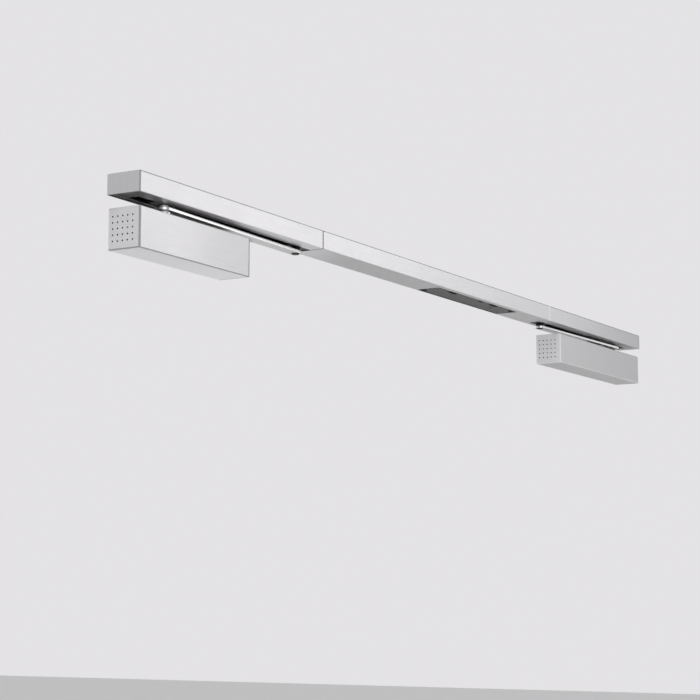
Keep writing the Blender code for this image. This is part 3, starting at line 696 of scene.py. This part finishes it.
# ================================================================ arms, pins, slide blocks
def arm_outline(x0, y0, r0, x1, y1, r1, n=40):
    d = math.hypot(x1 - x0, y1 - y0)
    a = math.atan2(y1 - y0, x1 - x0)
    b = math.acos((r0 - r1) / d)
    pts = [(x0 + r0 * math.cos(a + b + (2 * math.pi - 2 * b) * i / (n - 1)),
            y0 + r0 * math.sin(a + b + (2 * math.pi - 2 * b) * i / (n - 1))) for i in range(n)]
    pts += [(x1 + r1 * math.cos(a - b + 2 * b * i / (n - 1)), y1 + r1 * math.sin(a - b + 2 * b * i / (n - 1))) for i in
            range(n)]
    return pts


def hexagon(cx, cy, across, start=0.0):
    return circle(cx, cy, across / math.sqrt(3), 6, start)


for tag, sgn in (("left", -1), ("right", 1)):
    sp = [c / MM for c in JOINTS["closer_%s_swing" % tag]["pos_m"]]
    pin = [c / MM for c in JOINTS["arm_%s_pivot" % tag]["pos_m"]]
    lo, hi = nbox("arm_" + tag)
    z0, z1 = lo[2], hi[2]
    eye = abs((lo[0] if sgn < 0 else hi[0]) - sp[0])
    tip = abs((hi[0] if sgn < 0 else lo[0]) - pin[0])
    arm = to_object("slide_arm_" + tag, prism(arm_outline(sp[0], sp[1], eye, pin[0], pin[1], tip), "Z", z0, z1),
                    M["arm" if sgn < 0 else "polished"])
    edges(arm, 0.6, 3, 50)
    bpy.context.view_layer.update()
    me = bpy.data.meshes.new_from_object(arm.evaluated_get(bpy.context.evaluated_depsgraph_get()))
    arm.modifiers.clear()
    arm.data = me
    sq = [(sp[0] - 6.3, sp[1] - 6.3), (sp[0] + 6.3, sp[1] - 6.3), (sp[0] + 6.3, sp[1] + 6.3), (sp[0] - 6.3, sp[1] + 6.3)]
    boolean(arm, prism(rounded(sq, 0.6, 3), "Z", z0 - 5, z1 + 5))
    boolean(arm, prism(circle(pin[0], pin[1], 5.4, 48), "Z", z0 - 5, z1 + 5))
    arm.data.shade_smooth()
    arm.data.set_sharp_from_angle(angle=math.radians(40))
    w = arm.modifiers.new("normals", "WEIGHTED_NORMAL")
    w.keep_sharp = True
    place(arm, "arm_" + tag)

    # spindle: journal, heart cam, collar, square end with a thread
    lo, hi = nbox("spindle_" + tag)
    zb = lo[2] - 6.5                          # the closer's underside
    phase = math.radians(15.0)

    def cam(t, s=sgn):
        u = t if s < 0 else math.pi - t
        psi = (u - phase + math.pi) % (2 * math.pi) - math.pi
        return 15.5 + 2.7 * abs(psi) - 6.5 - 0.6

    rings = [(0, zb + 6.5), (8, zb + 6.5), (8, zb + 25), (cam, zb + 25), (cam, zb + 35), (8, zb + 35), (8, zb + 60.8),
             (11, zb + 60.8), (11, zb + 66.0), (9.6, zb + 68.6), (0, zb + 68.6)]
    spd = to_object("spindle_fine_" + tag, lathe(rings, "Z", (sp[0], sp[1]), 96, 0.4), M["polished"], 0)
    sq = [(sp[0] - 5.9, sp[1] - 5.9), (sp[0] + 5.9, sp[1] - 5.9), (sp[0] + 5.9, sp[1] + 5.9), (sp[0] - 5.9, sp[1] + 5.9)]
    boolean(spd, prism(rounded(sq, 0.5, 3), "Z", zb + 67.0, zb + 73.2), "UNION")
    boolean(spd, prism(circle(sp[0], sp[1], 3.3, 40), "Z", zb + 60.0, zb + 80.0))
    spd.data.shade_smooth()
    spd.data.set_sharp_from_angle(angle=math.radians(35))
    place(spd, "spindle_" + tag)

    lo, hi = nbox("arm_screw_" + tag)
    za, zt = lo[2], hi[2]
    scr = to_object("arm_bolt_" + tag, lathe([(0, za), (2.9, za), (2.9, zt - 3.8), (7.6, zt - 3.8), (7.6, zt - 1.2),
                                              (6.6, zt - 0.3), (5.4, zt), (0, zt)], "Z", (sp[0], sp[1]), 64, 0.3),
                    M["zinc"], 0)
    boolean(scr, prism(hexagon(sp[0], sp[1], 5.0), "Z", zt - 2.4, zt + 3))
    scr.data.shade_smooth()
    scr.data.set_sharp_from_angle(angle=math.radians(32))
    place(scr, "arm_screw_" + tag)

    lo, hi = nbox("slider_pin_" + tag)
    top = z1
    prof = [(0, lo[2]), (3.6, lo[2] + 0.03), (5.6, lo[2] + 0.25), (6.5, lo[2] + 0.8), (6.5, z0 - 0.3), (5.0, z0 - 0.3),
            (5.0, top + 0.4), (8.0, top + 0.4), (8.0, RZ0 - 0.2), (5.0, RZ0 - 0.2), (5.0, hi[2]), (0, hi[2])]
    ob = to_object("slider_rivet_" + tag, lathe(prof, "Z", (pin[0], pin[1]), 64, 0.25), M["black"])
    place(ob, "slider_pin_" + tag)

    lo, hi = nbox("slide_block_" + tag)
    lip = RZ0 + RAIL_T + 0.4
    tee = [(SLOT0 + 0.6, RZ0 + 0.4), (SLOT1 - 0.6, RZ0 + 0.4), (SLOT1 - 0.6, lip), (hi[1], lip), (hi[1], hi[2]),
           (lo[1], hi[2]), (lo[1], lip), (SLOT0 + 0.6, lip)]
    ob = to_object("slide_shoe_" + tag, prism(rounded(tee, [0.6, 0.6, 0.3, 1.2, 1.2, 1.2, 1.2, 0.3], 3), "X", lo[0], hi[0]),
                   M["plastic"])
    boolean(ob, prism(circle(pin[0], pin[1], 5.4, 48), "Z", RZ0 - 5, RZ0 + 15.6))
    edges(ob, 0.5, 2, 50)
    place(ob, "slide_block_" + tag)


# ================================================================ closers
def end_cap(name, x_out, x_in, y0, y1, z0, z1, dot_y, dot_z, py, pz):
    """A cap with a 5 by 5 field of round dimples in its outward face and rounded outer edges."""
    n, r, depth = 32, 1.25, 2.3
    inward = 1 if x_in > x_out else -1
    bm = bmesh.new()
    index = {}

    def vid(p):
        key = tuple(round(c, 4) for c in p)
        if key not in index:
            index[key] = bm.verts.new(p)
        return index[key]

    ys = [dot_y + (i - 2.5) * py for i in range(6)]
    zs = [dot_z + (j - 2.5) * pz for j in range(6)]
    floor = []
    for i in range(5):
        for j in range(5):
            cy, cz = 0.5 * (ys[i] + ys[i + 1]), 0.5 * (zs[j] + zs[j + 1])
            edge, lipr, top, low = [], [], [], []
            for k in range(n):
                t = 2 * math.pi * k / n
                c, s = math.cos(t), math.sin(t)
                q = max(abs(c), abs(s))
                edge.append(vid((x_out, cy + 0.5 * py * c / q, cz + 0.5 * pz * s / q)))
                lipr.append(vid((x_out, cy + (r + 0.18) * c, cz + (r + 0.18) * s)))
                top.append(vid((x_out + inward * 0.16, cy + r * c, cz + r * s)))
                low.append(vid((x_out + inward * depth, cy + r * 0.92 * c, cz + r * 0.92 * s)))
            for k in range(n):
                m = (k + 1) % n
                bm.faces.new((edge[k], edge[m], lipr[m], lipr[k]))
                bm.faces.new((lipr[k], lipr[m], top[m], top[k]))
                f = bm.faces.new((top[k], top[m], low[m], low[k]))
                f.material_index = 1
            f = bm.faces.new(low)
            f.material_index = 1
    # the four margins round the field
    per = 8                                   # edge points of one cell's side
    def side_points(fixed_axis, value, other):
        out = []
        for a, b in zip(other, other[1:]):
            for k in range(per):
                # the cell's edge points lie at the tangent of equal angles
                ang = math.radians(-45 + 90 * k / per)
                mid, h = 0.5 * (a + b), 0.5 * (b - a)
                v = mid + h * math.tan(ang)
                out.append((value, v) if fixed_axis == "y" else (v, value))
        out.append((value, other[-1]) if fixed_axis == "y" else (other[-1], value))
        return out

    rim, back = 1.6, 0.8                      # radius of the cap's outer edges, and of those at the wall
    fy0, fy1, fz0, fz1 = y0 + rim, y1 - back, z0 + rim, z1 - rim
    bottom = side_points("z", zs[0], ys)
    topp = side_points("z", zs[-1], ys)
    left = side_points("y", ys[0], zs)
    right = side_points("y", ys[-1], zs)
    C = {"ll": (fy0, fz0), "rl": (fy1, fz0), "rr": (fy1, fz1), "lr": (fy0, fz1)}
    P = lambda q, x=x_out: vid((x, q[0], q[1]))
    bm.faces.new([P(C["ll"]), P(C["rl"])] + [P(q) for q in reversed(bottom)])
    bm.faces.new([P(C["rl"]), P(C["rr"])] + [P(q) for q in reversed(right)])
    bm.faces.new([P(C["rr"]), P(C["lr"])] + [P(q) for q in topp])
    bm.faces.new([P(C["lr"]), P(C["ll"])] + [P(q) for q in left])
    # the rounded outer edge, a side wall, and a narrow shadow step where the cap meets the cover
    corners = [(C["ll"], 180, rim), (C["rl"], 270, back), (C["rr"], 0, back), (C["lr"], 90, rim)]
    m = 5
    prev = [[P(c)] for c, _, _ in corners]
    thick = abs(x_in - x_out)
    grow = [(math.sin(math.radians(a)), (1 - math.cos(math.radians(a)))) for a in (18, 36, 54, 72, 90)]
    rings = [(k, min(rim * q, 0.72 * thick)) for k, q in grow]
    rings += [(1.0, thick - 0.75), (0.97, thick - 0.65), (0.76, thick - 0.65), (0.76, thick)]
    for k, dx in rings:
        x = x_out + inward * dx
        now = []
        for (cy, cz), start, ry in corners:
            now.append([vid((x, cy + k * ry * math.cos(math.radians(start + 90 * i / m)),
                             cz + k * rim * math.sin(math.radians(start + 90 * i / m)))) for i in range(m + 1)])
        for i in range(4):
            pa, pb, na, nb = prev[i], prev[(i + 1) % 4], now[i], now[(i + 1) % 4]
            if len(pa) == 1:
                for q in range(m):
                    bm.faces.new((pa[0], na[q], na[q + 1]))
            else:
                for q in range(m):
                    bm.faces.new((pa[q], na[q], na[q + 1], pa[q + 1]))
            bm.faces.new((pa[-1], na[-1], nb[0], pb[0]))
        prev = now
    bm.faces.new([v for row in prev for v in row])
    # the left closer's caps take the brighter, painted-lit copy of the paint
    ob = to_object(name, bm, None, 40, [M["cap_lit_copy_left" if x_out < -0.8 or x_out < -800 else "cap"], M["dot"]])
    w = ob.modifiers.new("normals", "WEIGHTED_NORMAL")
    w.keep_sharp = True
    w.weight = 80
    return ob


def coil(y, z, x0, x1, radius, wire, turns, per_turn=28, sides=12):
    """The closing spring, with closed and ground end turns."""
    steps = int(turns * per_turn)
    pts, faces = [], []
    for s in range(steps + 1):
        t = s / steps
        a = 2 * math.pi * turns * t
        edge = 0.75 / turns
        if t < edge:
            w = 0.30 * t / edge
        elif t > 1 - edge:
            w = 1 - 0.30 * (1 - t) / edge
        else:
            w = 0.30 + 0.40 * (t - edge) / (1 - 2 * edge)
        closed = wire * 1.6
        span = x1 - x0 - 2 * wire
        if w <= 0.30:
            x = x0 + wire + closed * (w / 0.30)
        elif w >= 0.70:
            x = x1 - wire - closed * ((1 - w) / 0.30)
        else:
            x = x0 + wire + closed + (span - 2 * closed) * (w - 0.30) / 0.40
        for k in range(sides):
            b = 2 * math.pi * k / sides
            rr = radius + wire * math.cos(b)
            pts.append((x + wire * math.sin(b), y + rr * math.cos(a), z + rr * math.sin(a)))
    for s in range(steps):
        for k in range(sides):
            m = (k + 1) % sides
            a, b = s * sides, (s + 1) * sides
            faces.append((a + k, a + m, b + m, b + k))
    faces.append(tuple(range(sides)))
    faces.append(tuple(reversed(range(steps * sides, (steps + 1) * sides))))
    return solid(pts, faces)


for tag, sgn in (("left", -1), ("right", 1)):
    sp = [c / MM for c in JOINTS["closer_%s_swing" % tag]["pos_m"]]
    oc, ic = nbox("end_cap_outer_" + tag), nbox("end_cap_inner_" + tag)
    # ---- caps
    for part, (lo, hi), out in (("outer", oc, sgn), ("inner", ic, -sgn)):
        x_out, x_in = (lo[0], hi[0]) if out < 0 else (hi[0], lo[0])
        ob = end_cap("closer_cap_%s_%s" % (part, tag), x_out, x_in, lo[1], hi[1], lo[2], hi[2], -25.3, lo[2] + 30.0, 8.7,
                     8.8)
        place(ob, "end_cap_%s_%s" % (part, tag))

    # ---- cover: a C-shaped extrusion, open at the back, with a notch for the spindle
    lo, hi = nbox("cover_" + tag)
    t = 1.6
    y0, y1, z0, z1 = lo[1], hi[1], lo[2], hi[2]
    prof = [(y1, z0), (y0, z0), (y0, z1), (y1, z1), (y1, z1 - t), (y0 + t, z1 - t), (y0 + t, z0 + t), (y1, z0 + t)]
    # the left cover takes the brighter, painted-lit copy of the aluminium
    cover = to_object("closer_cover_" + tag, prism(rounded(prof, [0.3, 1.6, 1.6, 0.3, 0.3, 0.6, 0.6, 0.3], 7), "X", lo[0],
                                                   hi[0]), M["cover_left" if sgn < 0 else "cover"])
    notch = [(sp[0] + 13.0, 5.0), (sp[0] - 13.0, 5.0)]
    notch += [(sp[0] - 13.0 * math.cos(math.pi * i / 40), sp[1] - 13.0 * math.sin(math.pi * i / 40)) for i in range(41)]
    boolean(cover, prism(notch, "Z", z1 - 5, z1 + 5))
    edges(cover, 0.3, 2, 50)
    place(cover, "cover_" + tag)

    # ---- mounting plate with countersunk screw holes
    lo, hi = nbox("mounting_plate_" + tag)
    zc = 0.5 * (lo[2] + hi[2])
    plate = to_object("closer_plate_" + tag, prism(rounded([(lo[0], lo[2]), (hi[0], lo[2]), (hi[0], hi[2]),
                                                            (lo[0], hi[2])], 3.0, 6), "Y", lo[1], hi[1]), M["zinc"])
    for x in (lo[0] + 14.0, hi[0] - 14.0):
        for z in (zc - 21, zc + 21):
            boolean(plate, lathe([(0, -6.0), (4.6, -6.0), (4.6, -2.8), (HOLE_R, -1.0), (HOLE_R, 3.0), (0, 3.0)], "Y", (x, z),
                                 40, 0))
    edges(plate, 0.35, 2, 50)
    place(plate, "mounting_plate_" + tag)

    # ---- turned internals
    for part in ("upper_bearing", "lower_bearing"):
        lo, hi = nbox("%s_%s" % (part, tag))
        ob = to_object("%s_ring_%s" % (part, tag), ring(8.5, 13.9, lo[2], hi[2], "Z", (sp[0], sp[1])), M["hard_z"])
        place(ob, "%s_%s" % (part, tag))
    for part in ("spring", "damper"):
        lo, hi = nbox("%s_piston_%s" % (part, tag))
        y, z, r = 0.5 * (lo[1] + hi[1]), 0.5 * (lo[2] + hi[2]), 17.55
        rc = [c / MM for c in JOINTS["%s_roller_%s_turn" % (part, tag)]["pos_m"]]
        ob = to_object("%s_piston_fine_%s" % (part, tag), lathe([(0, lo[0]), (r, lo[0]), (r, hi[0]), (0, hi[0])], "X",
                                                                (y, z), 80, 0.5), M["hard_x"], 0)
        # the slot that holds the roller, open towards the cam
        toward = 1 if sp[0] > rc[0] else -1
        a, b = sorted((rc[0] + toward * 4.0, rc[0] - toward * 7.3))
        a, b = (a - 20, b) if toward < 0 else (a, b + 20)
        boolean(ob, prism(rect(y - 30, y + 30, z - 6.3, z + 6.3), "X", a, b))
        ob.data.shade_smooth()
        ob.data.set_sharp_from_angle(angle=math.radians(35))
        place(ob, "%s_piston_%s" % (part, tag))
        ob = to_object("%s_roller_fine_%s" % (part, tag), lathe([(0, z - 5.8), (6.5, z - 5.8), (6.5, z + 5.8), (0, z + 5.8)],
                                                                "Z", (rc[0], rc[1]), 56, 0.5), M["hard_z"])
        place(ob, "%s_roller_%s" % (part, tag))
    lo, hi = nbox("closing_spring_" + tag)
    y, z = sp[1], sp[2] if len(sp) > 2 else 0.5 * (lo[2] + hi[2])
    bm = coil(y, z, lo[0], hi[0], 13.6, 2.4, 7.0 if tag == "left" else 15.0)
    ob = to_object("closing_coil_" + tag, bm, M["spring"], 60)
    place(ob, "closing_spring_" + tag)
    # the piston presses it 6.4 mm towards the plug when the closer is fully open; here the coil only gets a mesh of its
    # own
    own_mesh(ob)
    for part, bore in (("spring_plug", 5.0), ("damper_plug", 0.0)):
        lo, hi = nbox("%s_%s" % (part, tag))
        prof = [(0, lo[0]), (17.55, lo[0]), (17.55, lo[0] + 5.5), (16.6, lo[0] + 5.5), (16.6, lo[0] + 8.5),
                (17.55, lo[0] + 8.5), (17.55, hi[0]), (0, hi[0])]
        ob = to_object("%s_fine_%s" % (part, tag), lathe(prof, "X", (y, z), 80, 0.4), M["plug_x"], 0)
        if bore:
            boolean(ob, prism(circle(y, z, bore, 40), "X", lo[0] - 10, hi[0] + 10))
        ob.data.shade_smooth()
        ob.data.set_sharp_from_angle(angle=math.radians(35))
        place(ob, "%s_%s" % (part, tag))
    lo, hi = nbox("force_adjuster_" + tag)
    ob = to_object("force_screw_" + tag, lathe([(0, lo[0]), (4.6, lo[0]), (4.6, hi[0]), (0, hi[0])], "X", (y, z), 48, 0.4),
                   M["plug_x"], 0)
    a, b = (hi[0] - 5.6, hi[0] + 4) if sgn < 0 else (lo[0] - 4, lo[0] + 5.6)
    boolean(ob, prism(hexagon(y, z, 4.5), "X", a, b))
    ob.data.shade_smooth()
    ob.data.set_sharp_from_angle(angle=math.radians(35))
    place(ob, "force_adjuster_" + tag)
    for part in ("closing_valve", "latching_valve"):
        lo, hi = nbox("%s_%s" % (part, tag))
        x, zz = 0.5 * (lo[0] + hi[0]), 0.5 * (lo[2] + hi[2])
        ob = to_object("%s_needle_%s" % (part, tag), lathe([(0, lo[1]), (2.8, lo[1]), (2.8, lo[1] + 2.6), (2.4, lo[1] + 2.6),
                                                            (2.4, lo[1] + 3.6), (2.8, lo[1] + 3.6), (2.8, hi[1] - 2.8),
                                                            (0.8, hi[1]), (0, hi[1])], "Y", (x, zz), 48, 0.15),
                       M["brass"], 0)
        boolean(ob, prism([(x - 5, zz - 0.5), (x + 5, zz - 0.5), (x + 5, zz + 0.5), (x - 5, zz + 0.5)], "Y", lo[1] - 3,
                          lo[1] + 1.2))
        ob.data.shade_smooth()
        ob.data.set_sharp_from_angle(angle=math.radians(35))
        place(ob, "%s_%s" % (part, tag))


# ================================================================ CAD nodes that stay
def dress(node, mat, width=0.0):
    ob = NODES[node]
    ob.data.materials.clear()
    ob.data.materials.append(M[mat])
    if width:
        mod = ob.modifiers.new("edge", "BEVEL")
        mod.width = width * MM
        mod.segments = 2
        mod.limit_method = "ANGLE"
        mod.angle_limit = math.radians(35)


for node, mat, width in (("coordinator_rod", "zinc", 0), ("release_lever", "zinc", 0.3), ("clamp_lever", "zinc", 0.3),
                         ("hold_open_unit_left", "zinc", 0.4), ("hold_open_unit_right", "zinc", 0.4),
                         ("control_board", "board", 0), ("power_supply", "plastic", 0.5), ("housing_left", "cast", 0.4),
                         ("housing_right", "cast", 0.4)):
    dress(node, mat, width)


# ================================================================ stage
def stage_plane(name, size, loc, mat):
    bm = bmesh.new()
    bmesh.ops.create_grid(bm, x_segments=1, y_segments=1, size=size / 2)
    me = bpy.data.meshes.new(name)
    bm.to_mesh(me)
    bm.free()
    me.materials.append(mat)
    ob = bpy.data.objects.new(name, me)
    ob.location = loc
    COLL.objects.link(ob)
    return ob


g = Graph("studio_floor")
speck = g.noise(g.coord, 3.0, 2.0)
floor_mat = g.finish(g.mix(g.ramp(speck, 0.3, 0.7), (0.84, 0.84, 0.85), (0.87, 0.87, 0.88)),
                     g.ramp(speck, 0.3, 0.7, 0.80, 0.90), 0.0)
floor = stage_plane("floor", 60.0, (0, 0, -2.3), floor_mat)       # the height the object hangs at
floor.visible_glossy = False                # the metal mirrors the studio below the horizon instead

# a strip behind the gap between rail and closers, standing in for the shaded frame head there.
g = Graph("frame_head_shade")
shade_mat = g.finish(g.mix(g.ramp(g.noise(g.coord, 5.0), 0.3, 0.7), (0.02, 0.02, 0.02), (0.03, 0.03, 0.03)),
                     g.ramp(g.noise(g.coord, 8.0), 0.3, 0.7, 0.85, 0.95), 0.0)
for name, xa, xb in (("flag_left", -940.0, -560.0), ("flag_right", 770.0, 940.0)):
    bm = prism([(xa, RZ0 - 18.0), (xb, RZ0 - 18.0), (xb, RZ0 - 0.3), (xa, RZ0 - 0.3)], "Y", 0.5, 1.5)
    ob = to_object(name, bm, shade_mat, 0)
    ob.visible_camera = False

# ---- world: pale to the camera, a soft graded studio to the surfaces
LIGHT = {"amb": 0.2, "up": 1, "a0": 0, "a20": 0, "a40": 0, "a60": 0, "a90": 0, "a180": 0, "a217": 0.617,
         "u-60": 0.9, "u-40": 0, "u-20": 0.237, "u0": 0.13, "u20": 0.6, "down": 1.5, "n": 0.834, "w": 0.36, "b": 1.5, "loc": 0.112, "key": 8.066, "fill": 12, "top": 100}
world = bpy.data.worlds.new("studio")
SCENE.world = world
world.use_nodes = True
wt = world.node_tree
wt.nodes.clear()


def wnode(kind, *ins, op=None):
    n = wt.nodes.new(kind)
    if op:
        n.operation = op
    for i, v in enumerate(ins):
        if isinstance(v, (int, float, tuple)):
            n.inputs[i].default_value = v
        else:
            wt.links.new(v, n.inputs[i])
    return n


def compass(a, el):
    """A direction a degrees from +X towards the front (-Y), and el degrees up."""
    a, el = math.radians(a), math.radians(el)
    return (math.cos(a) * math.cos(el), -math.sin(a) * math.cos(el), math.sin(el))


ray = wnode("ShaderNodeTexCoord").outputs["Generated"]
total = wnode("ShaderNodeMath", LIGHT["amb"], 0.0, op="ADD").outputs[0]
for direction, power, strength in ((compass(0, 90), 4.0, LIGHT["up"]), (compass(0, -90), 6.0, LIGHT["down"]),
                                   (compass(0, 8), 24.0, LIGHT["a0"]), (compass(20, 10), 24.0, LIGHT["a20"]),
                                   (compass(40, 13), 24.0, LIGHT["a40"]), (compass(62, 15), 16.0, LIGHT["a60"]),
                                   (compass(85, 15), 20.0, LIGHT["a90"]), (compass(182, 14), 14.0, LIGHT["a180"]),
                                   (compass(217, 12), 12.0, LIGHT["a217"]), (compass(-62, -14), 16.0, LIGHT["u-60"]),
                                   (compass(-40, -13), 24.0, LIGHT["u-40"]), (compass(-20, -10), 24.0, LIGHT["u-20"]),
                                   (compass(0, -8), 24.0, LIGHT["u0"]), (compass(29.5, 6), 60.0, LIGHT["n"]), (compass(30, -35), 10.0, LIGHT["u20"]),
                                   (compass(-23, 11), 40.0, LIGHT["w"]), (compass(122, 9), 10.0, LIGHT["b"])):
    if strength <= 0:
        continue
    dot = wnode("ShaderNodeVectorMath", ray, direction, op="DOT_PRODUCT").outputs["Value"]
    pos = wnode("ShaderNodeMath", dot, 0.0, op="MAXIMUM").outputs[0]
    lobe = wnode("ShaderNodeMath", pos, power, op="POWER").outputs[0]
    part = wnode("ShaderNodeMath", lobe, strength, op="MULTIPLY").outputs[0]
    total = wnode("ShaderNodeMath", total, part, op="ADD").outputs[0]
seen = wnode("ShaderNodeBackground")
seen.inputs["Color"].default_value = (0.775, 0.762, 0.785, 1)
lit = wnode("ShaderNodeBackground")
lit.inputs["Color"].default_value = (1, 1, 1, 1)
wt.links.new(total, lit.inputs["Strength"])
path = wnode("ShaderNodeLightPath")
mixs = wnode("ShaderNodeMixShader")
wt.links.new(path.outputs["Is Camera Ray"], mixs.inputs[0])
wt.links.new(lit.outputs[0], mixs.inputs[1])
wt.links.new(seen.outputs[0], mixs.inputs[2])
wt.links.new(mixs.outputs[0], wnode("ShaderNodeOutputWorld").inputs[0])


def softbox(name, loc, target, size, energy, spread=180.0, glossy=True):
    if energy <= 0:
        return
    li = bpy.data.lights.new(name, "AREA")
    li.shape = "RECTANGLE"
    li.size, li.size_y = size
    li.energy = energy
    li.spread = math.radians(spread)
    ob = bpy.data.objects.new(name, li)
    ob.location = loc
    ob.rotation_euler = (Vector(target) - Vector(loc)).to_track_quat("-Z", "Y").to_euler()
    ob.visible_camera = False
    ob.visible_glossy = glossy
    COLL.objects.link(ob)
    return ob


softbox("key_front_right", (1.9, -2.3, 0.9), (-0.4, 0, 0), (2.2, 1.4), LIGHT["key"])
softbox("low_left", (-0.37, 0.26, -0.20), (-0.78, -0.03, -0.0935), (0.5, 0.22), LIGHT["loc"])
softbox("fill_back", (0.6, 2.6, 0.9), (-0.3, 0, -0.05), (3.0, 1.6), LIGHT["fill"])
softbox("top", (0.3, -0.4, 2.6), (0, 0, -1.0), (3.5, 2.5), LIGHT["top"], glossy=False)

# ---- camera
cam = bpy.data.cameras.new("photo_view")
cam.sensor_width = 36.0
cam.lens = 93.68
cam.clip_start, cam.clip_end = 0.05, 200.0
co = bpy.data.objects.new("photo_view", cam)
theta, pitch = 1.0387, 0.1367
d = Vector((math.sin(theta), math.cos(theta), 0))
r = Vector((math.cos(theta), -math.sin(theta), 0))
up = Vector((0, 0, 1))
d2 = d * math.cos(pitch) + up * math.sin(pitch)
u2 = up * math.cos(pitch) - d * math.sin(pitch)
rot = Matrix((r, u2, -d2)).transposed().to_4x4()
co.matrix_world = Matrix.Translation((-2.903514, -1.556685, -0.576124)) @ rot
COLL.objects.link(co)
SCENE.camera = co

SCENE.view_settings.view_transform = "Standard"
SCENE.view_settings.look = "None"
